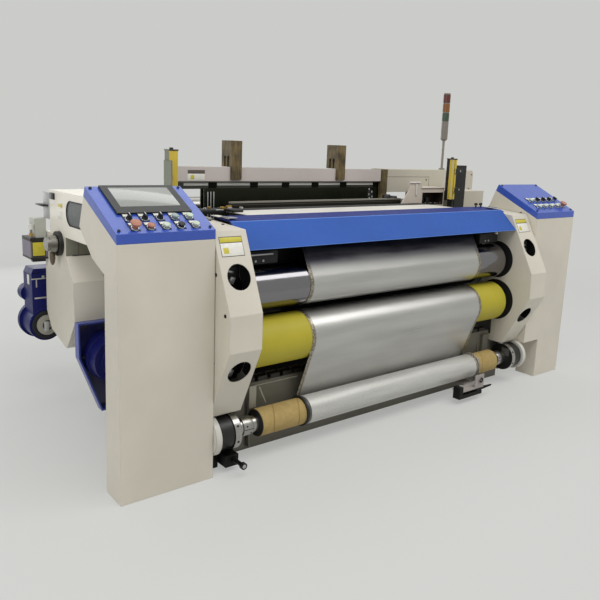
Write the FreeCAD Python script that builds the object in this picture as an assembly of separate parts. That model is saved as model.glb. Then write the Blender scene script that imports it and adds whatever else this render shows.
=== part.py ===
import FreeCAD
import Part
import math
import os
from FreeCAD import Vector

# Power loom for woven wire mesh, in millimetres.
# X runs along the rollers, to the right of the weaver. Y runs from the weaver to the
# warp beam, and is measured here from the front faces of the consoles. Z is up from
# the floor. Each piece is moved back by FOOT_MIDDLE as it is written, so that the
# part's origin is the centre of the four floor bolts.

# Frame and feet
FRAME_INNER = 1000          # inner face of each side frame, from the middle
FRAME_THICK = 60
FRAME_TOP = 985
FOOT_MIDDLE = 700
FOOT_PITCH = 900            # front bolt to rear bolt
FOOT_BOLT_X = 955           # floor bolt, from the middle
FOOT_BOLT_RADIUS = 11
FOOT_THICK = 20

BEAM_FRONT = 150
BEAM_TOP = 315
BEAM_BLOCKS = 26
BEAM_BLOCK_PITCH = 71

# Consoles and their sloping panels
CONSOLE_INNER = 1107
CONSOLE_OUTER = 1511
CONSOLE_DEPTH = 133
SHEET = 3
PANEL_FRONT_TOP = 1044
PANEL_LIP = 38
PANEL_REAR_Y = 289
PANEL_REAR_TOP = 1192
CONTROL_PITCH = 62
CONTROL_BORE = 11.05        # a 22 mm control in its panel
CONTROL_STEM = 11.0

# Rollers, each as (y, z) of its axis
CHROME_AXIS = (143, 757)
CHROME_RADIUS = 99
RUBBER_AXIS = (127, 514)
RUBBER_RADIUS = 113
PRESS_AXIS = (292, 640)
PRESS_RADIUS = 50
BREAST_AXIS = (180, 956)
BREAST_RADIUS = 40
WINDER_AXIS = (62, 163)
TUBE_RADIUS = 62
TUBE_HALF = 850
ROLL_RADIUS = 67
ROLLER_HALF = 895
JOURNAL = 30
RUNNING = 0.05              # radial clearance of a shaft in its bore

LOCK_SCREW = (-1000, 52)     # (x, z) of its axis
CLAMP_PIVOT = (600, -38)     # (x, y) of its pin

# Cloth
CLOTH_LEFT = -580
CLOTH_RIGHT = 660
CLOTH_THICK = 1.5
CLOTH_GAP = 0.5             # between the cloth and a roller that turns under it
FELL = (618, 1000)

# Weaving zone
REED_Y = 690
REED_LEFT = -603
REED_RIGHT = 650
REED_DENTS = 100
ROCKER_AXIS = (740, 300)
RAIL_Y = 955
RAIL_THICK = 12
RAIL_LOW = 1172
RAIL_TOP = 1250
RAIL_LEFT = -760
RAIL_RIGHT = 742
GUIDE_WIDE = 64
LEFT_GUIDE_WIDE = 26
GUIDE_FOOT = 1045
BLOCK_WIDE = 68
BLOCK_TOP = 1394
HEALD_PITCH = 34
HEALD_THICK = 10
HEALD_LEFT = -770          # end of the top rails
HEALD_RIGHT = 770
STAY_LEFT = -589
STAY_WIDE = 66
HEDDLE_RIGHT = 652
HEDDLES = 90

# Warp side
BACK_REST_AXIS = (1480, 985)
BACK_REST_RADIUS = 60
WARP_AXIS = (1650, 530)
WARP_FLANGE_RADIUS = 280

# Left end
CASE_LEFT = -1400
CASE_RIGHT = -1250
CRANK_AXIS = (915, 885)
HUB_AXIS = (-1388, 424)      # (x, z); this one runs along Y
HUB_FACE = 1200

# Roller guards: each front outline (y, z) from the top of the back to the bottom,
# and the middles (x, y, z) of its two sight holes
GUARD_INNER = 950
GUARD_OUTER = 1104
LEFT_GUARD = [(340, 1050), (27, 1034), (-110, 715), (-110, 565), (36, 254)]
RIGHT_GUARD = [(340, 1050), (68, 1027), (-100, 703), (-104, 556), (57, 254)]
SIGHT_HOLE = 54
LEFT_SIGHTS = [(1026, -49, 857), (1026, -64, 468)]
RIGHT_SIGHTS = [(1019, -26, 846), (1008, -44, 443)]
BEAM_SHOULDER = 945         # the front beam is lower outside this, under the guards
BEAM_END_TOP = 250

LONG_BOX_LOW = 1099.5


# ---------------------------------------------------------------- shape helpers


def span(first, second):
    """A (low, high) pair, whichever end is given first."""
    return (min(first, second), max(first, second))


def block(x, y, z):
    corner = Vector(x[0], y[0], z[0])
    return Part.makeBox(x[1] - x[0], y[1] - y[0], z[1] - z[0], corner)


def rod(axis, radius, x):
    """A round bar along X, on an axis given as (y, z)."""
    start = Vector(x[0], axis[0], axis[1])
    return Part.makeCylinder(radius, x[1] - x[0], start, Vector(1, 0, 0))


def post(x, y, radius, z):
    return Part.makeCylinder(radius, z[1] - z[0], Vector(x, y, z[0]))


def stub(x, z, radius, y):
    """A round bar along Y."""
    return Part.makeCylinder(radius, y[1] - y[0], Vector(x, y[0], z), Vector(0, 1, 0))


def plate_x(outline, x):
    """A flat piece across X from an outline of (y, z) points."""
    corners = [Vector(x[0], y, z) for y, z in outline]
    wire = Part.makePolygon(corners + corners[:1])
    return Part.Face(wire).extrude(Vector(x[1] - x[0], 0, 0))


def plate_y(outline, y):
    """A flat piece across Y from an outline of (x, z) points."""
    corners = [Vector(x, y[0], z) for x, z in outline]
    wire = Part.makePolygon(corners + corners[:1])
    return Part.Face(wire).extrude(Vector(0, y[1] - y[0], 0))


def plate_z(outline, z):
    """A flat piece across Z from an outline of (x, y) points."""
    corners = [Vector(x, y, z[0]) for x, y in outline]
    wire = Part.makePolygon(corners + corners[:1])
    return Part.Face(wire).extrude(Vector(0, 0, z[1] - z[0]))


def join(shapes):
    whole = shapes[0].multiFuse(shapes[1:])
    return whole.removeSplitter()


def mirrored(shape):
    return shape.mirror(Vector(0, 0, 0), Vector(1, 0, 0))


def folded(solid, is_open):
    """A sheet casing: the solid's skin, left open at the faces that is_open picks."""
    openings = [face for face in solid.Faces if is_open(face)]
    return solid.makeThickness(openings, -SHEET, 0.01, False, False, 0, 2)


def faces_down(face):
    return face.normalAt(0, 0).z < -0.99


def on_slope(x, along, height, shape):
    """Stands a piece made round the Z axis on a console's panel."""
    rise = PANEL_REAR_TOP - PANEL_FRONT_TOP
    tilt = math.atan2(rise, PANEL_REAR_Y)
    standing = shape.copy()
    standing.rotate(Vector(0, 0, 0), Vector(1, 0, 0), math.degrees(tilt))
    up = Vector(0, -math.sin(tilt), math.cos(tilt))
    base = Vector(x, along * math.cos(tilt), PANEL_FRONT_TOP + along * math.sin(tilt))
    standing.translate(base + up * height)
    return standing


def save(name, shape):
    moved = shape.copy()
    moved.translate(Vector(0, -FOOT_MIDDLE, 0))
    moved.exportStep("parts/" + name + ".step")


# ---------------------------------------------------------------- frame


def side_frame(arm_inner):
    """The right side frame: a heavy plate with its feet, its arm and bearing bores."""
    outline = [
        (BEAM_FRONT, 0), (BEAM_FRONT, 330), (55, 430), (55, 850), (120, FRAME_TOP),
        (1300, FRAME_TOP), (1420, 1045), (1545, 1045), (1545, 925), (1480, 860),
        (1400, 760), (1740, 640), (1740, 420), (1250, 300), (1250, 0),
    ]
    across = (FRAME_INNER, FRAME_INNER + FRAME_THICK)
    plate = plate_x(outline, across)
    for window_front in (430, 840):
        window = block((FRAME_INNER - 5, across[1] + 5),
                       (window_front, window_front + 240), (140, 400))
        plate = plate.cut(window)
    feet = []
    for bolt_y in (FOOT_MIDDLE - FOOT_PITCH / 2, FOOT_MIDDLE + FOOT_PITCH / 2):
        foot = block((FOOT_BOLT_X - 40, FRAME_INNER + 5),
                     (bolt_y - 60, bolt_y + 60), (0, FOOT_THICK))
        hole = post(FOOT_BOLT_X, bolt_y, FOOT_BOLT_RADIUS, (-5, FOOT_THICK + 5))
        feet.append(foot.cut(hole))
    arm = block((arm_inner, FRAME_INNER + 5), (RAIL_Y, RAIL_Y + 95), (1010, GUIDE_FOOT))
    riser = block(across, (RAIL_Y, RAIL_Y + 95), (FRAME_TOP - 5, GUIDE_FOOT))
    frame = join([plate, riser, arm] + feet)
    bores = [
        (CHROME_AXIS, JOURNAL), (RUBBER_AXIS, JOURNAL), (PRESS_AXIS, 20),
        (ROCKER_AXIS, 30), (BACK_REST_AXIS, 25), (WARP_AXIS, 45),
    ]
    for axis, radius in bores:
        frame = frame.cut(rod(axis, radius + RUNNING, (FRAME_INNER - 5, across[1] + 5)))
    return frame


def right_side_frame():
    """The right side frame, with the lug that carries the long box."""
    deep = (RAIL_Y + 7, RAIL_Y + 45)
    lug = block((FRAME_INNER + 40, FRAME_INNER + 120), deep, (FRAME_TOP - 5, LONG_BOX_LOW))
    return join([side_frame(RAIL_RIGHT + 36), lug])


def left_side_frame():
    return mirrored(side_frame(-RAIL_LEFT))


def front_beam():
    """The low front beam, with its ribs and the row of blocks along its top."""
    half = FRAME_INNER
    front = BEAM_FRONT
    inner = BEAM_SHOULDER
    sheet = block((-half, half), (front, front + 12), (0, BEAM_END_TOP))
    crest = block((-inner, inner), (front, front + 12), (BEAM_END_TOP - 1, BEAM_TOP))
    top = block((-inner, inner), (front, front + 100), (BEAM_TOP - 12, BEAM_TOP))
    low = block((-905, 905), (front, front + 100), (0, 12))
    pieces = [sheet, crest, top, low]
    for side in (-1, 1):
        channel = block(span(side * 868, side * 920), (front - 20, front), (20, 296))
        rib = plate_x([(front, 20), (front - 30, 20), (front, 280)], span(side * 838, side * 846))
        pieces += [channel, rib]
    for number in range(BEAM_BLOCKS):
        left = (number - BEAM_BLOCKS / 2) * BEAM_BLOCK_PITCH
        pieces.append(block((left, left + 52), (front, front + 50), (BEAM_TOP, BEAM_TOP + 22)))
    return join(pieces)


def rear_beam():
    """A box beam across the back of the frame, under the warp."""
    outer = block((-FRAME_INNER, FRAME_INNER), (1130, 1230), (150, 290))
    inner = block((-FRAME_INNER - 5, FRAME_INNER + 5), (1136, 1224), (156, 284))
    return outer.cut(inner)


# ---------------------------------------------------------------- consoles


def console_body():
    """The right console: a folded sheet cabinet, open at the floor."""
    outline = [
        (0, 0), (0, PANEL_FRONT_TOP - PANEL_LIP), (306, 1154), (355, 1033),
        (231, 925), (116, 880), (CONSOLE_DEPTH, 0),
    ]
    return plate_x(outline, (CONSOLE_INNER, CONSOLE_OUTER))


def right_console():
    notch = block((CONSOLE_INNER - 5, CONSOLE_INNER + 150), (-5, 200), (-5, 244))
    return folded(console_body().cut(notch), lambda face: faces_down(face) and face.CenterOfMass.z < 1)


def left_console():
    return mirrored(folded(console_body(), lambda face: faces_down(face) and face.CenterOfMass.z < 1))


def panel_tray(x):
    """A control panel: a tray that sits over the console's sloping top."""
    outline = [
        (0, PANEL_FRONT_TOP - PANEL_LIP + 0.5), (0, PANEL_FRONT_TOP),
        (PANEL_REAR_Y, PANEL_REAR_TOP), (306, 1154.5),
    ]
    return folded(plate_x(outline, x), lambda face: face.normalAt(0, 0).z < -0.5)


def panel_screws(middle):
    """Four corner screws."""
    screws = []
    for x in (middle - 186, middle + 186):
        for along in (18, 310):
            screws.append(on_slope(x, along, -1, Part.makeCylinder(5, 4)))
    return screws


def bezel():
    """The fixed ring of a control: a tapered collar with the stem's bore."""
    collar = Part.makeCone(15.5, 13.5, 6)
    return collar.cut(Part.makeCylinder(CONTROL_BORE, 20, Vector(0, 0, -5)))


def name_plate():
    return Part.makeBox(30, 15, 1.5, Vector(-15, 15, -0.5))


def controls_on(panel, places):
    """Bores the panel for its controls and adds their bezels and blank plates."""
    for x, along in places:
        bore = on_slope(x, along, -40, Part.makeCylinder(CONTROL_BORE, 60))
        panel = panel.cut(bore)
    extras = []
    for x, along in places:
        extras.append(on_slope(x, along, -0.5, bezel()))
        extras.append(on_slope(x, along, 0, name_plate()))
    return join([panel] + extras)


def selector(x, along, stem_radius=CONTROL_STEM):
    """A selector switch: a stem, a skirt and a pointed grip that turns."""
    stem = Part.makeCylinder(stem_radius, 18, Vector(0, 0, -10))
    skirt = Part.makeCone(13, 11, 5, Vector(0, 0, 7))
    grip = Part.makeBox(7, 25, 14, Vector(-3.5, -12.5, 11))
    return on_slope(x, along, 0, join([stem, skirt, grip]))


def push_button(x, along, stem_radius=CONTROL_STEM):
    """A flush button: a stem with a low domed cap."""
    stem = Part.makeCylinder(stem_radius, 25, Vector(0, 0, -12))
    cap = Part.makeCone(stem_radius, 9, 2, Vector(0, 0, 13))
    return on_slope(x, along, 0, join([stem, cap]))


def mushroom(x, along):
    """The stop button: a wide head on a stem."""
    stem = Part.makeCylinder(CONTROL_STEM, 24, Vector(0, 0, -10))
    neck = Part.makeCone(12, 20, 12, Vector(0, 0, 12))
    head = Part.makeCone(20, 16, 6, Vector(0, 0, 24))
    return on_slope(x, along, 0, join([stem, neck, head]))


def touch_screen():
    """The screen unit: a bezel with a sunk glass and a thin edge."""
    body = Part.makeBox(308, 196, 9, Vector(-154, 0, 0))
    sunk = Part.makeBox(250, 136, 2, Vector(-125, 42, 8))
    return on_slope(-1307, 122, 0, body.cut(sunk))


def build_consoles():
    save("left_console", left_console())
    save("right_console", right_console())

    middle = -(CONSOLE_INNER + CONSOLE_OUTER) / 2
    columns = [middle + 4 + step * CONTROL_PITCH for step in (-2, -1, 0, 1, 2)]
    top_row = 88
    low_row = 30
    places = [(x, top_row) for x in columns] + [(x, low_row) for x in columns]
    tray = panel_tray((-CONSOLE_OUTER, -CONSOLE_INNER))
    panel = controls_on(join([tray] + panel_screws(middle)), places)
    save("left_panel", panel)
    save("touch_screen", touch_screen())
    for number, x in enumerate(columns[:3]):
        save("left_selector_" + str(number + 1), selector(x, top_row))
    save("left_button_1", push_button(columns[3], top_row))
    save("left_button_2", push_button(columns[4], top_row))
    save("left_stop_button", mushroom(columns[0], low_row))
    for number, x in enumerate(columns[1:]):
        save("left_button_" + str(number + 3), push_button(x, low_row))

    middle = -middle
    pitch = 64
    columns = [middle + 8 + step * pitch for step in (-2, -1, 0, 1, 2)]
    top_row = 124
    low_row = 56
    places = [(x, top_row) for x in columns] + [(x, low_row) for x in columns]
    tray = panel_tray((CONSOLE_INNER, CONSOLE_OUTER))
    panel = controls_on(join([tray] + panel_screws(middle)), places)
    filled = CONTROL_BORE + 0.2
    fixed = [push_button(columns[0], top_row, filled)]
    fixed += [push_button(x, low_row, filled) for x in columns[:4]]
    fixed.append(selector(columns[4], top_row, filled))
    save("right_panel", join([panel] + fixed))
    for number, x in enumerate(columns[1:4]):
        save("right_selector_" + str(number + 1), selector(x, top_row))
    save("right_stop_button", mushroom(columns[4], low_row))


# ---------------------------------------------------------------- guards and covers


def roller_guard(front, sights):
    """A folded guard round the roller ends, with a sight hole above and below."""
    body = plate_x(front + [(340, 254)], (GUARD_INNER, GUARD_OUTER))
    shell = folded(body, lambda face: face.normalAt(0, 0).y > 0.9)
    for centre, (start, end) in zip(sights, (front[1:3], front[3:5])):
        inward = Vector(1, 0, 0).cross(Vector(0, end[0] - start[0], end[1] - start[1]))
        inward.normalize()
        outside = Vector(*centre) - inward * 30
        shell = shell.cut(Part.makeCylinder(SIGHT_HOLE, 60, outside, inward))
    within = (GUARD_INNER + SHEET, GUARD_OUTER - SHEET)
    shell = shell.cut(block(within, (145, 345), (250, 260)))
    side = (GUARD_INNER - 5, GUARD_INNER + SHEET + 5)
    shell = shell.cut(rod(CHROME_AXIS, CHROME_RADIUS + 11, side))
    shell = shell.cut(rod(RUBBER_AXIS, RUBBER_RADIUS + 9, side))
    shell = shell.cut(rod(PRESS_AXIS, PRESS_RADIUS + 8, side))
    shell = shell.cut(rod(BREAST_AXIS, BREAST_RADIUS + 2, side))
    return shell.cut(block(side, (140, 300), (292, 420)))


def breast_cover():
    """The blue folded cover over the breast bar."""
    wall = [(29, 945), (142, 1053), (283, 1061)]
    under = [(283, 1058), (143.5, 1050), (33, 944)]
    return plate_x(wall + under, (-GUARD_INNER + 2, GUARD_INNER - 2))


def fell_cover():
    """The cream cover strip between the breast cover and the reed."""
    top = block((-740, 720), (284, 596), (1054, 1057))
    lip = block((-740, 720), (593, 596), (1040, 1054))
    return join([top, lip])


def weft_box():
    """The small housing right of the reed: a slotted plate, a lid and a dark mouth."""
    face = [(575, 1057), (631, 1130), (650, 1187), (753, 1187), (753, 1057)]
    plate = plate_y(face, (600, 606))
    slot = block((700, 708), (595, 610), (1096, 1166))
    body = block((753, 970), (600, 690), (1000, 1150))
    mouth = block((762, 961), (590, 680), (1046, 1122))
    stand = block((753, 1030), (640, 690), (FRAME_TOP, 1010))
    lid = block((748, 970), (594, 692), (1150, 1155))
    return join([plate.cut(slot), body.cut(mouth), stand, lid])


# ---------------------------------------------------------------- rollers


def roller(axis, radius, journal):
    """A roller with a bearing journal at each end."""
    end = FRAME_INNER + FRAME_THICK + 10
    return join([rod(axis, radius, (-ROLLER_HALF, ROLLER_HALF)), rod(axis, journal, (-end, end))])


def breast_bar():
    """The fixed bar that the cloth slides over."""
    return rod(BREAST_AXIS, BREAST_RADIUS, (-FRAME_INNER, FRAME_INNER))


def winding_shaft():
    """The winder's shaft, with a plug, a sleeve and a rimmed disc towards each end."""
    pieces = [rod(WINDER_AXIS, 24, (-1100, 1100))]
    for side in (-1, 1):
        pieces.append(rod(WINDER_AXIS, 56, span(side * 800, side * TUBE_HALF)))
        pieces.append(rod(WINDER_AXIS, 37, span(side * TUBE_HALF, side * 974)))
        pieces.append(rod(WINDER_AXIS, 80, span(side * 974, side * 1005)))
        pieces.append(rod(WINDER_AXIS, 75, span(side * 1005, side * 1068)))
    return join(pieces)


def paper_tube():
    """The paper tube, pushed over the plugs of the shaft."""
    tube = rod(WINDER_AXIS, TUBE_RADIUS, (-TUBE_HALF, TUBE_HALF))
    return tube.cut(rod(WINDER_AXIS, 56, (-TUBE_HALF - 5, TUBE_HALF + 5)))


def cloth_roll():
    """The wound cloth: its outer turn steps down from the loose edge."""
    y, z = WINDER_AXIS
    step = CLOTH_THICK
    back = Vector(CLOTH_LEFT, y + ROLL_RADIUS, z)
    low = Vector(CLOTH_LEFT, y, z - ROLL_RADIUS)
    front = Vector(CLOTH_LEFT, y - ROLL_RADIUS, z)
    top = Vector(CLOTH_LEFT, y - step / 2, z + ROLL_RADIUS - step / 2)
    inner_back = Vector(CLOTH_LEFT, y + ROLL_RADIUS - step, z)
    edges = [
        Part.Arc(back, low, front).toShape(),
        Part.Arc(front, top, inner_back).toShape(),
        Part.LineSegment(inner_back, back).toShape(),
    ]
    turns = Part.Face(Part.Wire(edges)).extrude(Vector(CLOTH_RIGHT - CLOTH_LEFT, 0, 0))
    return turns.cut(rod(WINDER_AXIS, TUBE_RADIUS, (CLOTH_LEFT - 5, CLOTH_RIGHT + 5)))


def winder_heads():
    """The white bearing heads that carry the winder's shaft, on the side frames."""
    heads = []
    outer = FRAME_INNER + FRAME_THICK
    for side in (-1, 1):
        head = rod(WINDER_AXIS, 87, span(side * 1076, side * 1102))
        foot = block(span(side * 1076, side * 1102), (100, 230), (90, 236))
        pad = block(span(side * outer, side * 1080), (BEAM_FRONT + 5, 230), (90, 236))
        bore = rod(WINDER_AXIS, 24 + RUNNING, span(side * 1010, side * 1110))
        heads.append(join([head, foot, pad]).cut(bore))
    return Part.makeCompound(heads)


# ---------------------------------------------------------------- cloth path


def turn_tangent(first, second):
    """The straight run between two arcs of the path, each (y, z, radius, turn)."""
    along_y = second[0] - first[0]
    along_z = second[1] - first[1]
    distance = math.hypot(along_y, along_z)
    offset = second[3] * second[2] - first[3] * first[2]
    heading = math.atan2(along_z, along_y) - math.asin(offset / distance)
    normal = (-math.sin(heading), math.cos(heading))
    ends = []
    for y, z, radius, turn in (first, second):
        ends.append((y - turn * radius * normal[0], z - turn * radius * normal[1]))
    return ends


def arc_middle(circle, start, end):
    """The point halfway round the path's arc from start to end."""
    y, z, radius, turn = circle
    begin = math.atan2(start[1] - z, start[0] - y)
    sweep = (math.atan2(end[1] - z, end[0] - y) - begin) * turn
    half = begin + turn * (sweep % (2 * math.pi)) / 2
    return (y + radius * math.cos(half), z + radius * math.sin(half))


def path_side(circles, side):
    """One face of the cloth, half its thickness to one side of its middle."""
    shifted = []
    for y, z, radius, turn in circles:
        shifted.append((y, z, radius - side * turn * CLOTH_THICK / 2, turn))
    runs = [turn_tangent(a, b) for a, b in zip(shifted, shifted[1:])]
    edges = []
    for number, run in enumerate(runs):
        edges.append(("line", run[0], run[1]))
        if number + 1 < len(runs):
            middle = arc_middle(shifted[number + 1], run[1], runs[number + 1][0])
            edges.append(("arc", run[1], middle, runs[number + 1][0]))
    return edges


def cloth_web():
    """The cloth from the fell, over the breast bar and rollers, down to its roll."""
    lift = CLOTH_GAP + CLOTH_THICK / 2
    circles = [
        (FELL[0], FELL[1], 0, 1),
        (BREAST_AXIS[0], BREAST_AXIS[1], BREAST_RADIUS + lift, 1),
        (CHROME_AXIS[0], CHROME_AXIS[1], CHROME_RADIUS + lift, 1),
        (PRESS_AXIS[0], PRESS_AXIS[1], PRESS_RADIUS + lift, -1),
        (RUBBER_AXIS[0], RUBBER_AXIS[1], RUBBER_RADIUS + lift, 1),
        (WINDER_AXIS[0], WINDER_AXIS[1], ROLL_RADIUS + lift, -1),
    ]

    def at(point):
        return Vector(CLOTH_LEFT, point[0], point[1])

    edges = []
    for side in (1, -1):
        for piece in path_side(circles, side):
            if piece[0] == "line":
                edges.append(Part.LineSegment(at(piece[1]), at(piece[2])).toShape())
            else:
                edges.append(Part.Arc(at(piece[1]), at(piece[2]), at(piece[3])).toShape())
    left = path_side(circles, 1)
    right = path_side(circles, -1)
    edges.append(Part.LineSegment(at(left[0][1]), at(right[0][1])).toShape())
    edges.append(Part.LineSegment(at(left[-1][2]), at(right[-1][2])).toShape())
    wire = Part.Wire(Part.__sortEdges__(edges))
    return Part.Face(wire).extrude(Vector(CLOTH_RIGHT - CLOTH_LEFT, 0, 0))


# ---------------------------------------------------------------- winder brackets


def left_roll_bracket():
    """The black block at the foot of the left side frame, bored for its screw."""
    body = block((-1040, -976), (6, BEAM_FRONT), (22, 72))
    foot = block((-1062, -1040), (70, 100), (0, 60))
    x, z = LOCK_SCREW
    return join([body, foot]).cut(stub(x, z, 9 + RUNNING, (0, 70)))


def right_roll_bracket():
    """The grey angle at the right, over the black tray of its lever."""
    shelf = block((470, 665), (-46, 20), (62, 72))
    tail = block((580, 665), (0, BEAM_FRONT), (62, 72))
    wall = block((590, 665), (-46, -38), (62, 140))
    bolt = stub(628, 112, 11, (-54, -40))
    tray = block((440, 640), (-56, -10), (32, 52))
    upright = block((440, 470), (-56, -10), (32, 100))
    x, y = CLAMP_PIVOT
    whole = join([shelf, tail, wall, bolt, tray, upright])
    return whole.cut(post(x, y, 7 + RUNNING, (25, 80)))


def lock_screw():
    """The screw of the left bracket, with its collar and round head."""
    x, z = LOCK_SCREW
    return join([stub(x, z, 9, (-60, 62)), stub(x, z, 15, (-76, -60)), stub(x, z, 13, (-10, 5.5))])


def clamp_lever():
    """The black spike lever under the right bracket's shelf, on its upright pin."""
    x, y = CLAMP_PIVOT
    pin = post(x, y, 7, (30, 78))
    arm = plate_z([(x, y - 18), (x, y + 16), (748, y + 2), (748, y - 4)], (53, 61))
    boss = post(x, y, 18, (53, 61))
    return join([pin, arm, boss])


# ---------------------------------------------------------------- weaving zone


def guide_rail():
    """The fixed front rail over the heald frames."""
    return block((RAIL_LEFT, RAIL_RIGHT), (RAIL_Y, RAIL_Y + RAIL_THICK), (RAIL_LOW, RAIL_TOP))


def wooden_blocks():
    """The hardwood guides: one at each end of the rail, two notched over it."""
    pieces = []
    slots = []
    for number in (0, 1):
        front = RAIL_Y + RAIL_THICK + 4 + number * HEALD_PITCH
        slots.append((front, front + HEALD_THICK + 8))
    ends = [
        ((RAIL_LEFT - LEFT_GUIDE_WIDE, RAIL_LEFT), (HEALD_LEFT - 6, RAIL_LEFT + 5)),
        ((RAIL_RIGHT, RAIL_RIGHT + GUIDE_WIDE), (RAIL_RIGHT - 5, HEALD_RIGHT + 6)),
    ]
    for across, open_x in ends:
        end = block(across, (RAIL_Y, RAIL_Y + 95), (GUIDE_FOOT, RAIL_TOP))
        for slot in slots:
            end = end.cut(block(open_x, slot, (GUIDE_FOOT - 5, RAIL_TOP + 10)))
        pieces.append(end)
    for left in (-436, 342):
        leg = block((left, left + BLOCK_WIDE), (RAIL_Y - 12, RAIL_Y), (1181, RAIL_TOP + 2))
        body = block((left, left + BLOCK_WIDE), (RAIL_Y - 12, RAIL_Y + 92), (RAIL_TOP, BLOCK_TOP))
        guide = join([leg, body])
        for slot in slots:
            guide = guide.cut(block((left - 5, left + BLOCK_WIDE + 5), slot, (RAIL_TOP - 5, RAIL_TOP + 60)))
        pieces.append(guide)
    return Part.makeCompound(pieces)


def heald_frame(number):
    """A heald frame: rails, end stays, hooks, and its heddles as one ridged wall."""
    front = RAIL_Y + RAIL_THICK + 8 + number * HEALD_PITCH
    deep = (front, front + HEALD_THICK)
    heddle_left = STAY_LEFT + STAY_WIDE
    right_stay = HEALD_RIGHT - STAY_WIDE
    pieces = [
        block((HEALD_LEFT, HEALD_RIGHT), deep, (1130, 1236)),
        block((STAY_LEFT, HEALD_RIGHT), deep, (770, 828)),
        block((STAY_LEFT, heddle_left), deep, (820, 1135)),
        block((right_stay, HEALD_RIGHT), deep, (820, 1135)),
        block((heddle_left - 2, right_stay + 2), (front + 3, front + 7), (1116, 1124)),
        block((heddle_left - 2, right_stay + 2), (front + 3, front + 7), (840, 848)),
    ]
    for middle in (-537, -262, -34, 194, 427, 719):
        pieces.append(block((middle - 25, middle + 25), (front - 3, front + 2), (1134, 1166)))
    middle_y = front + HEALD_THICK / 2
    wall = block((heddle_left - 2, HEDDLE_RIGHT), (middle_y - 0.8, middle_y + 0.8), (826, 1132))
    pieces.append(wall)
    pitch = (HEDDLE_RIGHT - heddle_left) / HEDDLES
    for step in range(HEDDLES):
        left = heddle_left + pitch * (step + 0.25)
        ridge = block((left, left + pitch / 2), (middle_y - 2, middle_y + 2), (848, 1116))
        pieces.append(ridge)
    return join(pieces)


def reed():
    """The reed: a comb of dents between its top and bottom baulks."""
    top = block((REED_LEFT, REED_RIGHT), (REED_Y - 14, REED_Y + 14), (1040, 1084))
    low = block((REED_LEFT, REED_RIGHT), (REED_Y - 7, REED_Y + 7), (940, 962))
    wall = block((REED_LEFT, REED_RIGHT), (REED_Y - 3, REED_Y + 3), (960, 1042))
    comb = join([top, low, wall])
    pitch = (REED_RIGHT - REED_LEFT) / REED_DENTS
    gaps = []
    for dent in range(REED_DENTS):
        left = REED_LEFT + pitch * (dent + 0.25)
        gaps.append(block((left, left + pitch / 2), (REED_Y - 10, REED_Y + 10), (966, 1036)))
    return comb.cut(Part.makeCompound(gaps))


def sley():
    """The sley: a beam that grips the reed, on two swords from the rocker shaft."""
    beam = block((-720, 720), (REED_Y - 30, REED_Y + 40), (900, 955))
    groove = block((REED_LEFT, REED_RIGHT), (REED_Y - 7, REED_Y + 7), (940, 960))
    pieces = [beam.cut(groove)]
    for x in (-560, 560):
        sword = [(REED_Y - 20, 905), (REED_Y + 30, 905), (ROCKER_AXIS[0] + 35, 300),
                 (ROCKER_AXIS[0] - 35, 300)]
        pieces.append(plate_x(sword, (x - 20, x + 20)))
        pieces.append(rod(ROCKER_AXIS, 55, (x - 35, x + 35)))
    end = FRAME_INNER + FRAME_THICK + 10
    pieces.append(rod(ROCKER_AXIS, 30, (-end, end)))
    return join(pieces)


# ---------------------------------------------------------------- warp side


def back_rest_roller():
    end = FRAME_INNER + FRAME_THICK + 10
    body = rod(BACK_REST_AXIS, BACK_REST_RADIUS, (-ROLLER_HALF, ROLLER_HALF))
    return join([body, rod(BACK_REST_AXIS, 25, (-end, end))])


def warp_beam():
    """The warp beam: its barrel with the wound wire, two flanges and its gear."""
    end = FRAME_INNER + FRAME_THICK + 10
    pieces = [rod(WARP_AXIS, 45, (-end, end)), rod(WARP_AXIS, 110, (-880, 880)),
              rod(WARP_AXIS, 190, (-640, 700))]
    for x in (-652, 700):
        pieces.append(rod(WARP_AXIS, WARP_FLANGE_RADIUS, (x, x + 12)))
    beam = join(pieces)
    teeth = 48
    gear_radius = 180
    points = []
    for number in range(teeth * 2):
        angle = math.pi * number / teeth
        radius = gear_radius if number % 2 == 0 else gear_radius - 12
        points.append((WARP_AXIS[0] + radius * math.cos(angle), WARP_AXIS[1] + radius * math.sin(angle)))
    return join([beam, plate_x(points, (890, 930))])


# ---------------------------------------------------------------- ends of the loom


def rapier_housing(front, rear):
    """The right rapier housing: a folded case beside the side frame."""
    outer = FRAME_INNER + FRAME_THICK
    body = block((outer, 1400), (front, rear), (922, 1128))
    return folded(body, lambda face: face.normalAt(0, 0).x < -0.99)


def left_housing():
    """The left rapier housing, with the mesh window that is round at its rear."""
    shell = mirrored(rapier_housing(360, 1045))
    radius = 54
    slot = join([
        block((-1410, -1390), (440, 760), (984, 984 + 2 * radius)),
        rod((760, 984 + radius), radius, (-1410, -1390)),
    ])
    window = slot.common(block((-1399, -1397), (400, 900), (900, 1200)))
    return Part.makeCompound([shell.cut(slot), window])


def gear_case():
    """The bevelled closed case at the left, with the two spacers that carry it."""
    outline = [
        (842, 921), (842, 833), (758, 722), (752, 530), (864, 384), (882, 384),
        (1078, 431), (1143, 516), (1139, 629), (1126, 859), (1126, 921),
    ]
    case = plate_x(outline, (CASE_LEFT, CASE_RIGHT))
    spacers = [rod(axis, 45, (CASE_RIGHT - 2, -FRAME_INNER - FRAME_THICK))
               for axis in ((900, 640), (1020, 640))]
    disc = rod(CRANK_AXIS, 58, (CASE_LEFT - 18, CASE_LEFT))
    whole = join([case, disc] + spacers)
    return whole.cut(rod(CRANK_AXIS, 20 + RUNNING, (CASE_LEFT - 30, CASE_LEFT + 60)))


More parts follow.
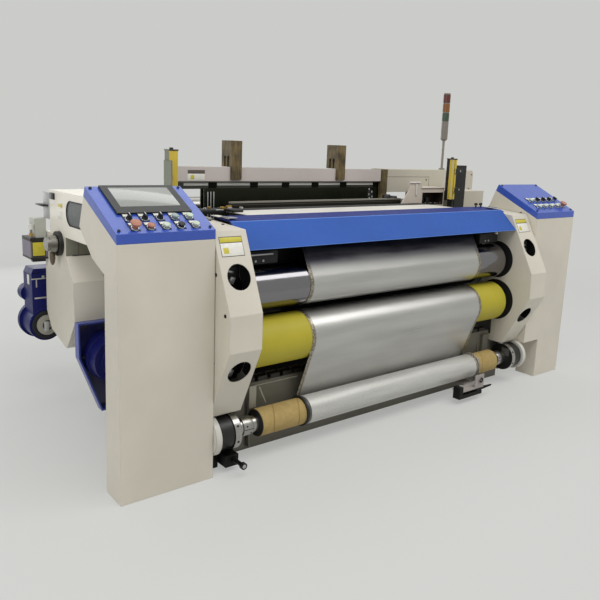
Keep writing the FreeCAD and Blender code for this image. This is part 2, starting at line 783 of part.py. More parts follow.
def crank_coupling():
    """The coupling on the end of the slow motion shaft."""
    shaft = rod(CRANK_AXIS, 20, (CASE_LEFT - 60, CASE_LEFT + 40))
    hub = rod(CRANK_AXIS, 40, (CASE_LEFT - 52, CASE_LEFT - 22))
    nose = rod(CRANK_AXIS, 32, (CASE_LEFT - 66, CASE_LEFT - 52))
    return join([shaft, hub, nose])


def motor_guard():
    """The blue plate that holds the main motor: a tray with a rim."""
    outline = [(-1418, 552), (-1418, 388), (-1316, 116), (-1075, 116), (-1075, 552)]
    rim = [(-1410, 544), (-1410, 390), (-1310, 124), (-1083, 124), (-1083, 544)]
    tray = plate_y(outline, (660, 704)).cut(plate_y(rim, (655, 698)))
    feet = block((-1090, -FRAME_INNER - FRAME_THICK), (640, 704), (140, 540))
    return join([tray, feet])


def main_motor():
    """The main motor, seen from its fan end, on the blue plate."""
    x = -1270
    z = 385
    cowl = stub(x, z, 110, (570, 640))
    ring = stub(x, z, 118, (640, 697.5))
    dish = stub(x, z, 78, (560, 570))
    return join([cowl, ring, dish])


def gear_motor():
    """The geared motor behind the case: its drum, body, terminal box and arm."""
    x, z = HUB_AXIS
    drum = stub(x, z, 85, (HUB_FACE, 1350))
    rear_ring = stub(x, z, 98, (1330, 1360))
    black_ring = stub(x, z, 64, (HUB_FACE - 6, HUB_FACE))
    body = block((-1452, -1290), (HUB_FACE + 2, 1340), (z, 690))
    cap = plate_y([(-1452, 690), (-1440, 716), (-1300, 716), (-1290, 690)], (HUB_FACE + 10, 1336))
    fan = stub(-1424, 568, 46, (1338, 1400))
    arm = block((-1300, -FRAME_INNER - FRAME_THICK), (HUB_FACE + 5, 1245), (380, 460))
    whole = join([drum, rear_ring, black_ring, body, cap, fan, arm])
    return whole.cut(stub(x, z, 25 + RUNNING, (HUB_FACE - 20, HUB_FACE + 60)))


def output_hub():
    """The hub on the geared motor's output shaft."""
    x, z = HUB_AXIS
    shaft = stub(x, z, 25, (HUB_FACE - 22, HUB_FACE + 55))
    flange = stub(x, z, 52, (HUB_FACE - 20, HUB_FACE - 6.5))
    return join([shaft, flange])


def lubricator():
    """The oil pump on the case: its box, tapered reservoir and filler fitting."""
    box = block((-1484, CASE_LEFT), (1090, 1222), (786, 890))
    hopper = plate_y([(-1453, 888), (-1404, 888), (-1402.5, 984), (-1462, 984)], (1100, 1172))
    neck = post(-1474, 1104, 6, (888, 934))
    nut = post(-1474, 1104, 10, (900, 914))
    ball = post(-1474, 1104, 13, (932, 956))
    return join([box, hopper, neck, nut, ball])


def long_box():
    """The long electric box at the right, which carries the signal tower."""
    body = block((816, 1740), (970, 1100), (LONG_BOX_LOW, 1252))
    edges = [edge for edge in body.Edges if edge.CenterOfMass.x > 1739 and edge.CenterOfMass.z > 1251]
    return body.makeFillet(22, edges)


def signal_tower():
    """The signal tower: foot, pole, body and three lenses."""
    x = 1449
    y = 1035
    pieces = [
        post(x, y, 22, (1252, 1264)), post(x, y, 9, (1260, 1470)),
        Part.makeCone(12, 25, 14, Vector(x, y, 1458)), post(x, y, 25, (1472, 1594)),
        post(x, y, 23, (1590, 1788)), post(x, y, 24, (1788, 1794)),
    ]
    for low in (1600, 1664, 1728):
        pieces.append(post(x, y, 25, (low, low + 56)))
    return join(pieces)


def light_curtain():
    """The right light curtain post, on its foot at the side frame's top."""
    bar = block((974, 1018), (555, 600), (1082, 1333))
    caps = [block((972, 1020), (553, 602), z) for z in ((1076, 1082), (1333, 1339))]
    plug = post(996, 577, 9, (1339, 1347))
    leg = block((1004, 1018), (560, 598), (FRAME_TOP, 1078))
    return join([bar, plug, leg] + caps)


def light_curtains():
    """Both light curtain posts, the left with its side plate, the right with a stay."""
    plate = block((-1022, -1018), (524, 600), (1000, 1290))
    lug = block((-1018, -1000), (545, 556), (1215, 1262))
    left = join([mirrored(light_curtain()), plate, lug])
    stay = block((1076, 1178), (600, 612), (1010, 1296))
    clamps = [block((1000, 1084), (545, 606), z) for z in ((1128, 1156), (1246, 1274))]
    right = join([light_curtain(), stay] + clamps)
    return Part.makeCompound([left, right])


# ---------------------------------------------------------------- the loom


def build():
    os.makedirs("parts", exist_ok=True)
    save("right_side_frame", right_side_frame())
    save("left_side_frame", left_side_frame())
    save("front_beam", front_beam())
    save("rear_beam", rear_beam())
    build_consoles()
    save("right_guard", roller_guard(RIGHT_GUARD, RIGHT_SIGHTS))
    save("left_guard", mirrored(roller_guard(LEFT_GUARD, LEFT_SIGHTS)))
    save("breast_cover", breast_cover())
    save("fell_cover", fell_cover())
    save("weft_box", weft_box())
    save("take_up_roller", roller(CHROME_AXIS, CHROME_RADIUS, JOURNAL))
    save("rubber_roller", roller(RUBBER_AXIS, RUBBER_RADIUS, JOURNAL))
    save("press_roller", roller(PRESS_AXIS, PRESS_RADIUS, 20))
    save("breast_bar", breast_bar())
    save("winding_shaft", winding_shaft())
    save("paper_tube", paper_tube())
    save("cloth_roll", cloth_roll())
    save("winder_heads", winder_heads())
    save("cloth_web", cloth_web())
    save("roll_brackets", Part.makeCompound([left_roll_bracket(), right_roll_bracket()]))
    save("lock_screw", lock_screw())
    save("clamp_lever", clamp_lever())
    save("guide_rail", guide_rail())
    save("wooden_blocks", wooden_blocks())
    save("heald_frame_front", heald_frame(0))
    save("heald_frame_rear", heald_frame(1))
    save("reed", reed())
    save("sley", sley())
    save("back_rest_roller", back_rest_roller())
    save("warp_beam", warp_beam())
    save("left_housing", left_housing())
    save("right_housing", rapier_housing(612, 960))
    save("gear_case", gear_case())
    save("crank_coupling", crank_coupling())
    save("motor_guard", motor_guard())
    save("main_motor", main_motor())
    save("gear_motor", gear_motor())
    save("output_hub", output_hub())
    save("lubricator", lubricator())
    save("long_box", long_box())
    save("signal_tower", signal_tower())
    save("light_curtains", light_curtains())


build()
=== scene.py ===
import bpy
import random
from math import asin, atan2, cos, dist, hypot, pi, radians, sin
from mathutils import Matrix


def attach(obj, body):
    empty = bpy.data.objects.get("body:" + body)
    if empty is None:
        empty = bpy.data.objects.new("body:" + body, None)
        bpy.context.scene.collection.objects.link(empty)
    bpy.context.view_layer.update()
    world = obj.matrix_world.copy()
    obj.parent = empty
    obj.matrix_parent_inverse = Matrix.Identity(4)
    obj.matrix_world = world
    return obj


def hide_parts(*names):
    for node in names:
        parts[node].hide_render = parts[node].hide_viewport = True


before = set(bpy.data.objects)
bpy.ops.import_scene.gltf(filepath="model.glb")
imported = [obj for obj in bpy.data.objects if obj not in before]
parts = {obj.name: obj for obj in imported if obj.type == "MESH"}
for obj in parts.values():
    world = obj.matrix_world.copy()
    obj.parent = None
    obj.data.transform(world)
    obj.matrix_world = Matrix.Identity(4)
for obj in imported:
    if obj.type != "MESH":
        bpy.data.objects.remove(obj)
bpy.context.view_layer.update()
random.seed(7)


# Side frames, cross beams and feet: thick steel plates and folded steel beams.
# They are sprayed with machine enamel: low gloss, a faint orange peel, and lighter edges that are part rubbed wear,
# part painted highlight.

def colour(code, factor=1.0):
    """A hex colour as the linear numbers that a shader takes, made lighter or darker."""
    shares = [int(code[i:i + 2], 16) / 255 for i in (1, 3, 5)]
    return [*(factor * (s / 12.92 if s <= 0.04045 else ((s + 0.055) / 1.055) ** 2.4) for s in shares), 1.0]


def feed(node, *values, **named):
    """Sets a node's live inputs in turn and others by name: to a value, hex colour, socket or a node's output."""
    live = [socket for socket in node.inputs if socket.enabled]
    chosen = [(node.inputs[name.replace("_", " ")], value) for name, value in named.items()]
    for socket, value in [*zip(live, values), *chosen]:
        if isinstance(value, bpy.types.Node):
            value = next(output for output in value.outputs if output.enabled)
        if isinstance(value, bpy.types.NodeSocket):
            node.id_data.links.new(value, socket)
        else:
            socket.default_value = colour(value) if isinstance(value, str) else value


def add(finish, kind, *values, **named):
    """Adds one shader node: names in small letters are its settings, other names and plain values its inputs."""
    made = finish.node_tree.nodes.new("ShaderNode" + kind)
    if kind == "Mix":
        made.data_type = "RGBA"
    for name in [name for name in named if name.islower()]:
        setattr(made, name, named.pop(name))
    feed(made, *values, **named)
    return made


def new_finish(name, **sockets):
    """A material, its shader with these single values, and its object coordinates."""
    finish = bpy.data.materials.new(name)
    finish.use_nodes = True
    shader = finish.node_tree.nodes["Principled BSDF"]
    feed(shader, **sockets)
    return finish, shader, add(finish, "TexCoord").outputs["Object"]


def zoned(finish, place, shown, zones):
    """Gives zones their own colour over the one shown: each zone is its colour and its limits by axis."""
    for shade, limits in zones:
        split = add(finish, "SeparateXYZ", place)
        mask = None
        for axis, (low, high) in limits.items():
            near = add(finish, "Math", split.outputs[axis], (low + high) / 2, (high - low) / 2, operation="COMPARE")
            mask = add(finish, "Math", mask, near, operation="MULTIPLY") if mask else near
        shown = add(finish, "Mix", mask, shown, shade)
    return shown


def enamel(name, paint, wear_and_highlight_colour, rough=0.42, zones=(), **sockets):
    """Sprayed enamel: cloudy tone over 0.4 m, 2 mm orange peel, edges lightened in patches, part rubbed wear and part
    painted highlight.
    """
    finish, shader, place = new_finish(name, Coat_Roughness=0.12, **sockets)
    cloud = add(finish, "TexNoise", Vector=place, Scale=2.4, Detail=4)
    dust = add(finish, "TexNoise", Vector=place, Scale=38, Detail=6, Roughness=0.7)
    peel = add(finish, "TexNoise", Vector=place, Scale=420, Detail=2)
    soft = add(finish, "Bevel", Radius=0.004, samples=4)
    face = add(finish, "NewGeometry").outputs["Normal"]
    flat = add(finish, "VectorMath", soft, face, operation="DOT_PRODUCT")
    # Edges found by the bevel are lightened where the dust noise is high: part rubbed wear, part a painted highlight
    # along the folds.
    edge = add(finish, "MapRange", Value=flat, From_Min=0.995, From_Max=0.86, To_Max=0.85)
    wear_and_highlight_edges = add(finish, "Math", edge, dust, operation="MULTIPLY")
    tone = add(finish, "MapRange", Value=cloud, From_Min=0.62, From_Max=0.36, To_Max=0.75)
    base = add(finish, "Mix", tone, paint, colour(paint, 0.86))
    shown = add(finish, "Mix", wear_and_highlight_edges, base, wear_and_highlight_colour)
    bump = add(finish, "Bump", Height=peel, Strength=0.12, Distance=0.0004, Normal=soft)
    gloss = add(finish, "MapRange", Value=dust, From_Min=0.3, From_Max=0.7, To_Min=rough - 0.06, To_Max=rough + 0.08)
    feed(shader, Base_Color=zoned(finish, place, shown, zones), Roughness=gloss, Normal=bump)
    return finish


def dress(finish, *names):
    """Gives CAD parts their finish."""
    for name in names:
        held = parts[name].data.materials
        if not held:
            held.append(finish)
        for index in range(len(held)):
            held[index] = finish


grey_enamel = enamel("grey_machine_enamel", "#6F6E6A", "#98958C", 0.5)
# Along the crest the blocks' front faces are painted light grey, a painted highlight, and their tops and sides near
# black, a painted shade.
beam_enamel = enamel("grey_green_machine_enamel", "#737064", "#8E8B7E", 0.5,
    [("#A5A49A", {"Z": (0.3155, 0.337), "Y": (-0.581, -0.5795)}),
    ("#23211C", {"Z": (0.3155, 0.3375), "Y": (-0.5795, -0.52)}),
    ("#8C887B", {"X": (-0.921, -0.867), "Y": (-0.601, -0.5801)})])
beam_trim_enamel = enamel("light_grey_green_enamel", "#9C988A", "#B0AC9F", 0.5)
dress(grey_enamel, "left_side_frame", "right_side_frame", "rear_beam")
dress(beam_enamel, "front_beam")


# Consoles, roller guards and end covers: 3 mm sheet steel, folded and spot welded.
# All wear warm beige satin enamels; their rounded folds catch the light and also carry a painted highlight.

beige_enamel = enamel("beige_satin_enamel", "#D2CCBD", "#E4E0D6")
cream_enamel = enamel("cream_satin_enamel", "#D8D5CC", "#E8E6DE", 0.4)
dress(beige_enamel, "left_console", "right_console", "left_guard", "right_guard")
dress(cream_enamel, "fell_cover")
dress(enamel("box_beige_enamel", "#C0BAAA", "#DAD5C9"), "right_housing", "long_box")
dress(enamel("pinkish_beige_enamel", "#C6BCB6", "#DAD5CC", 0.45), "guide_rail")
# The gear case, all but its black end slab, is painted lighter than the consoles: painted light on faces that lie in
# the shade of the console and housing.
dress(enamel("case_beige_with_painted_light", "#D2CCBD", "#E4E0D6", zones=[
    ("#1B1B1A", {"X": (-1.419, -1.4001)}), ("#EDE8DB", {"X": (-1.3992, -1.06)})]), "gear_case")
# The weft box's mouth is painted dark brown, a painted shade in its recess.
dress(enamel("weft_box_enamel", "#C2B7AA", "#D8D1C6", 0.45, [
    ("#2C2219", {"X": (0.761, 0.9615), "Z": (1.045, 1.1225), "Y": (-0.1052, -0.015)}),
    ("#2F2D2A", {"Z": (0.984, 1.03)})]), "weft_box")
# The left housing is painted lighter than the other beige parts, a painted light for the brighter light on its side;
# its window is dark grey.
dress(enamel("housing_beige_painted_lighter", "#EAE5D8", "#F0ECE3", zones=[
    ("#4B504F", {"X": (-1.3995, -1.3965), "Y": (-0.27, 0.125), "Z": (0.97, 1.1)})]), "left_housing")


# Screws of the guards and panels: black oxide socket heads, M6 to M8, pressed flush.
# Their sockets are sunk hexagons, and the oxide leaves a faint oily sheen.

def select_only(*pieces):
    """Selects these pieces and nothing else, with the first one active."""
    bpy.ops.object.select_all(action="DESELECT")
    for piece in reversed(pieces):
        piece.select_set(True)
        bpy.context.view_layer.objects.active = piece


def settle(made, name, finish, body="root"):
    """Puts a finished piece's place into its mesh, names it and lets it ride on its body."""
    select_only(made)
    bpy.ops.object.transform_apply(location=True, rotation=True, scale=True)
    bpy.ops.object.shade_smooth_by_angle(angle=radians(35))
    made.name = name
    made.data.materials.clear()
    made.data.materials.append(finish)
    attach(made, body)
    return made


def edit_whole():
    """Opens edit mode with everything selected."""
    bpy.ops.object.mode_set(mode="EDIT")
    bpy.ops.mesh.select_all(action="SELECT")


def turned(outline, sides=40):
    """A turned piece on the z axis: a circle drawn up through rings of (radius, height)."""
    select_only()
    radius, height = outline[0]
    bpy.ops.mesh.primitive_circle_add(vertices=sides, radius=radius, location=(0, 0, 0))
    edit_whole()
    bpy.ops.transform.translate(value=(0, 0, height))
    for new_radius, new_height in outline[1:]:
        bpy.ops.mesh.extrude_region_move(TRANSFORM_OT_translate={"value": (0, 0, new_height - height)})
        bpy.ops.transform.resize(value=(new_radius / radius, new_radius / radius, 1))
        radius, height = new_radius, new_height
    bpy.ops.mesh.select_all(action="SELECT")
    bpy.ops.mesh.remove_doubles(threshold=0.00002)
    bpy.ops.mesh.fill_holes(sides=0)
    bpy.ops.mesh.normals_make_consistent(inside=False)
    bpy.ops.object.mode_set(mode="OBJECT")
    return bpy.context.object


def ring(outline, sides):
    """A turned ring, whose outline runs back to its start."""
    return turned([*outline, outline[0]], sides)


def joined(group):
    """Joins pieces into one object."""
    select_only(*group)
    if len(group) > 1:
        bpy.ops.object.join()
    return bpy.context.object


def copies(made, places, turns):
    """Copies a piece to every place at its turn, each with its own mesh, joined into one object."""
    group = []
    for place, turn in zip(places, turns):
        other = made.copy()
        other.data = made.data.copy()
        bpy.context.scene.collection.objects.link(other)
        other.location = place
        other.rotation_euler = turn
        group.append(other)
    bpy.data.objects.remove(made)
    return joined(group)


def spread(name, made, places, finish, turn=(0, 0, 0), body="root"):
    """Copies a piece to every place at one turn and settles the copies as one piece."""
    return settle(copies(made, places, [turn] * len(places)), name, finish, body)


def metal(name, shade, rough, stretch=(1, 1, 1), scale=500, swing=0.08, metallic=1.0, zones=()):
    """Machined metal: fine tool marks drawn out along one axis, with its roughness uneven."""
    finish, shader, place = new_finish(name, Metallic=metallic)
    drawn = add(finish, "Mapping", Vector=place, Scale=stretch)
    marks = add(finish, "TexNoise", Vector=drawn, Scale=scale, Detail=3)
    smear = add(finish, "TexNoise", Vector=place, Scale=14, Detail=5)
    uneven = add(finish, "MapRange", Value=smear, From_Min=0.3, From_Max=0.7, To_Min=rough - swing / 2,
        To_Max=rough + swing)
    tone = add(finish, "Mix", marks, shade, colour(shade, 0.8))
    bump = add(finish, "Bump", Height=marks, Strength=0.1, Distance=0.0002)
    feed(shader, Base_Color=zoned(finish, place, tone, zones), Roughness=uneven, Normal=bump)
    return finish


def surface(finish, shader, tone, relief, strength, depth, uneven, low, high):
    """Gives a shader its colour, a relief of this depth, and a roughness that varies between two values."""
    bump = add(finish, "Bump", Height=relief, Strength=strength, Distance=depth)
    rough = add(finish, "MapRange", Value=uneven, To_Min=low, To_Max=high)
    feed(shader, Base_Color=tone, Roughness=rough, Normal=bump)


def socket_screw(radius, head):
    """A socket head screw with its hexagon sunk into the head."""
    return turned([(radius, -0.0005), (radius, head * 0.8), (radius * 0.9, head), (radius * 0.55, head),
        (radius * 0.5, head * 0.35), (radius * 0.02, head * 0.3)], 24)


black_oxide = metal("black_oxide_steel", "#0C0C0D", 0.42, metallic=0.3)
slope = atan2(0.148, 0.289)
hands = ((-1, "left"), (1, "right"))
quarter = pi / 2


def on_tray(name, made, spots, finish, height=0.0, right=0.0, up=0.0, body="root"):
    """Spreads a piece over a console's sloping tray, at spots of x and the way up from its front edge."""
    places = [(x + right, -0.7 + (along + up) * cos(slope) - height * sin(slope),
        1.044 + (along + up) * sin(slope) + height * cos(slope)) for x, along in spots]
    spread(name, made, places, finish, (slope, 0, 0), body)


for side, name in hands:
    corners = [(side * 1.309 + dx, along) for dx in (-0.186, 0.186) for along in (0.018, 0.31)]
    on_tray(name + "_panel_screw_heads", socket_screw(0.0062, 0.0022), corners, black_oxide, 0.0028)
    spots = [(side * 1.1042, y, z) for y, z in ((-0.702, 0.865), (-0.775, 0.713), (-0.69, 0.5))]
    spread(name + "_guard_screws", socket_screw(0.0075, 0.0024), spots, black_oxide, (0, side * quarter, 0))
    spots = [(side * x, y, 1.034 + (y + 0.673) * 0.0511) for x, y in ((0.978, -0.44), (0.978, -0.545),
        (1.076, -0.605))]
    spread(name + "_guard_top_screws", socket_screw(0.0065, 0.0034), spots, black_oxide, (0.05, 0, 0))


# Console panels: folded trays of sheet steel, four screws each, sprayed blue.
# A satin enamel that goes pale where it lies flat under the light.

dress(enamel("blue_satin_enamel", "#2A4EB0", "#6F86C8", 0.4, Coat_Weight=0.6), "left_panel", "right_panel")


def moulded(name, shade, rough, light=0.0):
    """Moulded plastic: even colour with faint flow marks and a fine spark-eroded grain."""
    finish, shader, place = new_finish(name, Subsurface_Weight=light, Subsurface_Scale=0.002)
    grain = add(finish, "TexNoise", Vector=place, Scale=900, Detail=2)
    flow = add(finish, "TexNoise", Vector=place, Scale=60, Detail=3)
    tone = add(finish, "Mix", flow, colour(shade, 1.12), colour(shade, 0.84))
    surface(finish, shader, tone, grain, 0.15, 0.0002, flow, rough - 0.05, rough + 0.07)
    return finish


def rounded_block(size, edge, place=(0, 0, 0), segments=2):
    """A block of that size with all its edges broken."""
    select_only()
    bpy.ops.mesh.primitive_cube_add(size=1, location=place, scale=size)
    bpy.ops.object.transform_apply(location=False, rotation=False, scale=True)
    edit_whole()
    bpy.ops.mesh.bevel(offset=edge, segments=segments, affect="EDGES")
    bpy.ops.object.mode_set(mode="OBJECT")
    return bpy.context.object


def blocks(name, pieces, finish, turn=(0, 0, 0), edge=0.001, body="root"):
    """Small blocks of one finish, each a size and a place, joined into one piece."""
    group = [rounded_block(size, edge, place) for size, place in pieces]
    for made in group:
        made.rotation_euler = turn
    return settle(joined(group), name, finish, body)


chrome_ring = metal("chromed_brass", "#AEB3BF", 0.16)
black_nylon = moulded("black_moulded_nylon", "#0F1011", 0.45)
white_plate = moulded("white_engraving_laminate", "#DCDBD4", 0.38)
left_columns = [-1.305 + 0.062 * k for k in range(-2, 3)]
right_columns = [1.317 + 0.064 * k for k in range(-2, 3)]
ring_outline = [(0.0113, 0), (0.0167, 0), (0.0165, 0.0036), (0.0152, 0.0058), (0.0136, 0.0064), (0.0118, 0.006)]
for name, columns, rows in (("left", left_columns, (0.088, 0.03)), ("right", right_columns, (0.124, 0.056))):
    spots = [(x, along) for along in rows for x in columns]
    on_tray(name + "_control_rings", ring(ring_outline, 36), spots, chrome_ring)
    on_tray(name + "_plate_carriers", rounded_block((0.035, 0.052, 0.0024), 0.0008), spots, black_nylon,
        0.0011, -0.0012, 0.01)
    on_tray(name + "_blank_plates", rounded_block((0.03, 0.015, 0.0012), 0.0004), spots, white_plate, 0.0027,
        0.0006, 0.0262)


# Control heads: black selector grips with a white pointer, push buttons with wide lenses
# and a salmon stop button. All are moulded plastic over steel stems.

pale_green = moulded("pale_green_polycarbonate", "#B9C6B4", 0.28, 0.2)
dull_green = moulded("grey_green_polycarbonate", "#8FA09A", 0.3, 0.2)
salmon = moulded("salmon_polyamide", "#A8705A", 0.45, 0.1)
dress(black_nylon, *[n for n in parts if "selector" in n])
dress(salmon, "left_stop_button", "right_stop_button")
cap_outline = [(0.0118, 0.0112), (0.0138, 0.0118), (0.0142, 0.014), (0.0136, 0.0164), (0.011, 0.0176),
    (0.0105, 0.017), (0.006, 0.0176), (0.0004, 0.018)]
left_buttons = ((3, 0.088, dull_green), (4, 0.088, pale_green), (1, 0.03, salmon), (2, 0.03, pale_green),
    (3, 0.03, black_nylon), (4, 0.03, pale_green))
for number, (column, along, lens) in enumerate(left_buttons, 1):
    name = f"left_button_{number}"
    dress(lens, name)
    on_tray(name + "_lens", turned(cap_outline, 36), [(left_columns[column], along)], lens,
        body=name + "_body")
fixed = [(right_columns[0], 0.124)] + [(x, 0.056) for x in right_columns[:4]]
on_tray("right_button_lenses", turned(cap_outline, 36), fixed, pale_green)
for name, columns, along in (("left", left_columns, 0.088), ("right", right_columns[1:], 0.124)):
    for number, x in enumerate(columns[:3], 1):
        on_tray(f"{name}_selector_{number}_pointer", rounded_block((0.0024, 0.015, 0.0012), 0.0004),
            [(x, along + 0.004)], white_plate, 0.0252, body=f"{name}_selector_{number}_body")
on_tray("right_fixed_selector_grip", rounded_block((0.0086, 0.0268, 0.015), 0.0024, segments=3),
    [(right_columns[4], 0.124)], black_nylon, 0.0182)
for name, spot in (("left_stop_button", (left_columns[0], 0.03)), ("right_stop_button", (right_columns[4], 0.056))):
    head = turned([(0.015, 0.0215), (0.0204, 0.0232), (0.0212, 0.0256), (0.0206, 0.0282), (0.0176, 0.0306),
        (0.011, 0.0316), (0.0006, 0.032)])
    on_tray(name + "_head", head, [spot], salmon, body=name + "_body")


# Touch screen: a black moulded bezel round a flat glass, sunk a little into it.
# The glass is dark grey behind, and shows mostly the pale room over it.

dress(moulded("black_moulded_abs", "#161A17", 0.4), "touch_screen")
glass, shader, place = new_finish("coated_display_glass", Roughness=0.16, Coat_Weight=0.6, Coat_Roughness=0.05)
grain = add(glass, "TexNoise", Vector=place, Scale=260, Detail=3)
feed(shader, Base_Color=add(glass, "Mix", grain, "#7F827D", "#A0A39D"))
on_tray("screen_glass", rounded_block((0.2494, 0.1354, 0.0012), 0.0004), [(-1.307, 0.232)], glass, 0.0086)
on_tray("screen_gasket", rounded_block((0.302, 0.19, 0.0016), 0.0006), [(-1.307, 0.22)], black_nylon, 0.0004)


# Plates on the guards and the rail: blank aluminium-backed labels with round corners.
# Each has a plain yellow band above a plain white field, with nothing written on it.

yellow_label = moulded("yellow_vinyl_label", "#C4B83A", 0.4)
white_label = moulded("white_vinyl_label", "#DEDCD2", 0.42)
dark_label = moulded("dark_brown_vinyl_label", "#5B5049", 0.42)
folds = {"left": (-0.673, 1.034, atan2(0.319, 0.137)), "right": (-0.632, 1.027, atan2(0.324, 0.168))}
facing_front = (quarter, 0, 0)
facing_side = (quarter, 0, quarter)


def on_guard(name, x, along, height):
    """A place over a guard's long front slope, measured down from its upper fold."""
    y, z, facet = folds[name]
    return (x, y - along * cos(facet) - height * sin(facet),
            z - along * sin(facet) + height * cos(facet))


def label(name, width, height, place, turn, finish):
    """A thin blank label."""
    spread(name, rounded_block((width, height, 0.0008), 0.0003), [place], finish, turn)


for name, x in (("left", -1.0315), ("right", 1.0185)):
    tilt = (folds[name][2], 0, 0)
    label(name + "_guard_edge", 0.107, 0.082, on_guard(name, x, 0.0665, 0.0001), tilt, black_nylon)
    label(name + "_guard_band", 0.103, 0.0205, on_guard(name, x, 0.0385, 0.0005), tilt, yellow_label)
    label(name + "_guard_plate", 0.103, 0.053, on_guard(name, x, 0.0785, 0.0005), tilt, white_label)
    label(name + "_guard_patch", 0.024, 0.024, on_guard(name, x - 0.03, 0.0825, 0.001), tilt, yellow_label)
label("housing_band", 0.06, 0.016, (-1.4002, 0.196, 1.064), facing_side, yellow_label)
label("housing_plate", 0.06, 0.036, (-1.4002, 0.2, 1.018), facing_side, white_label)
label("rail_band", 0.104, 0.02, (-0.65, 0.2546, 1.222), facing_front, dark_label)
label("rail_plate", 0.104, 0.036, (-0.65, 0.2546, 1.194), facing_front, white_label)
label("rail_patch", 0.022, 0.022, (-0.674, 0.2542, 1.194), facing_front, yellow_label)


# Bearings behind the guards' sight holes: black covers with bright clamps, seals round the
# roller ends, and black sheets on the guards' inner walls, painted shade that makes the sight holes dark.

black_rubber = moulded("black_moulded_rubber", "#0B0B0B", 0.6)
bright_steel = metal("bright_zinc_plate", "#B9BAB8", 0.32, metallic=0.7)
take_up_axle, rubber_axle = (-0.557, 0.757), (-0.573, 0.514)
along_x = (0, quarter, 0)
for side, name, heights, shade_sheet_x, low_y, low_z, low_tilt in (
        (-1, "left", (0.857, 0.468), -0.9552, -0.731, 0.483, 0.439),
        (1, "right", (0.846, 0.443), 1.0985, -0.712, 0.46, 0.49)):
    covers = [((0.128, 0.004, 0.13), (side * 1.027, -0.648, z - 0.005)) for z in heights]
    covers += [((0.06, 0.04, 0.05), (side * 1.02, -0.666, z + 0.008)) for z in heights]
    blocks(name + "_bearing_covers", covers, black_rubber, edge=0.0015)
    nuts = [((0.024, 0.012, 0.03), (side * 1.02 - 0.004, -0.691, z - 0.024)) for z in heights]
    nuts += [((0.03, 0.008, 0.01), (side * 1.02 - 0.01, -0.689, z + 0.012)) for z in heights]
    blocks(name + "_bearing_clamps", nuts, bright_steel, turn=(0.2, 0.3, 0), edge=0.002)
    for where, radius, axle in (("upper", 0.112, take_up_axle), ("lower", 0.124, rubber_axle)):
        spread(f"{name}_{where}_roller_seal", ring([(0.0312, 0), (radius, 0), (radius, 0.002), (0.0312, 0.002)], 64),
               [(side * 0.9552 - 0.001, *axle)], black_rubber, along_x)
    # Black sheets inside each guard: painted shade for the sight holes.
    spread(name + "_upper_shade_sheet", rounded_block((0.0016, 0.2, 0.096), 0.0005),
           [on_guard(name, shade_sheet_x, 0.19, -0.053)], black_rubber, (folds[name][2], 0, 0))
    spread(name + "_lower_shade_sheet", rounded_block((0.0016, 0.056, 0.13), 0.0005), [(shade_sheet_x, low_y, low_z)],
           black_rubber, (low_tilt, 0, 0))


# Breast cover: one long folded sheet over the breast bar, sprayed the panels' blue.
# It hangs between the guards; its top facet is painted dark blue as painted shade, and its fold and hem carry thin
# painted highlight lines.

dress(enamel("blue_cover_enamel", "#2C55A4", "#6C8BC4", 0.5, Specular_IOR_Level=0.18, zones=[
    ("#07206E", {"Y": (-0.556, -0.41), "Z": (1.03, 1.07)}), ("#5C84CC", {"Y": (-0.56, -0.5562), "Z": (1.03, 1.07)}),
    ("#5C84CC", {"Y": (-0.672, -0.669), "Z": (0.94, 0.95)})]), "breast_cover")
blocks("cover_hinges", [((0.044, 0.05, 0.004), (side * 0.914, -0.5, 1.063)) for side in (-1, 1)]
       + [((0.006, 0.06, 0.009), (side * 0.9385, -0.5, 1.064)) for side in (-1, 1)], bright_steel)
blocks("cover_latch", [((0.02, 0.058, 0.005), (-0.96, -0.395, 1.052)),
    ((0.008, 0.03, 0.008), (-0.972, -0.35, 1.056))], bright_steel, turn=(0.05, 0, 0))
knob = turned([(0.004, 0), (0.004, 0.01), (0.0095, 0.012), (0.0102, 0.018), (0.0085, 0.024), (0.001, 0.025)], 24)
spread("cover_wing_knobs", knob, [(0.902, -0.44, 1.0605), (0.862, -0.436, 1.0605)], black_nylon)


# Stiffening strips of the front beam: light flats welded upright and aslant by the left
# rib, and a lip along the crest.

blocks("beam_upright_strip", [((0.038, 0.004, 0.104), (-0.8325, -0.583, 0.262)),
    ((0.258, 0.004, 0.004), (-0.705, -0.5815, 0.3125))], beam_trim_enamel)
blocks("beam_slant_strip", [((0.007, 0.004, 0.094), (-0.7775, -0.5825, 0.26))], beam_trim_enamel,
       turn=(0, -0.421, 0))


# Black sheets behind the rollers, painted shade that fills the gaps under the bar and under the
# lower roller, and the black scraper holders with their bright rods, clamped to the bar.

blocks("upper_painted_shade_sheet",
    [((1.88, 0.003, 0.226), (0, -0.448, 0.816)), ((1.88, 0.042, 0.003), (0, -0.4675, 0.9285))], black_rubber)
blocks("lower_painted_shade_sheet", [((1.88, 0.003, 0.5), (0, -0.345, 0.45))], black_rubber)
blocks("scraper_holders", [((0.17, 0.085, 0.058), (side * 0.805, -0.548, 0.896)) for side in (-1, 1)]
    + [((0.012, 0.012, 0.012), (side * 0.74, -0.556, 0.93)) for side in (-1, 1)], black_rubber, edge=0.004)
spread("scraper_rod", turned([(0.0045, 0), (0.0052, 0.001), (0.0052, 0.124), (0.0045, 0.125)], 16),
       [(-0.88, -0.6, 0.912)], bright_steel, along_x)
blocks("scraper_rod_block", [((0.016, 0.014, 0.012), (0.862, -0.598, 0.924)),
    ((0.01, 0.02, 0.01), (-0.87, -0.592, 0.912))], white_plate)
spread("scraper_screws", socket_screw(0.0055, 0.003), [(x, -0.5908, 0.882) for x in (0.77, 0.8, -0.84, -0.8)],
       bright_steel, facing_front)


# Rollers: the take-up roller is hard chromed and polished, with faint drawn polishing lines.
# The one below is clad in ground yellow polyurethane, and the back rest is turned steel.

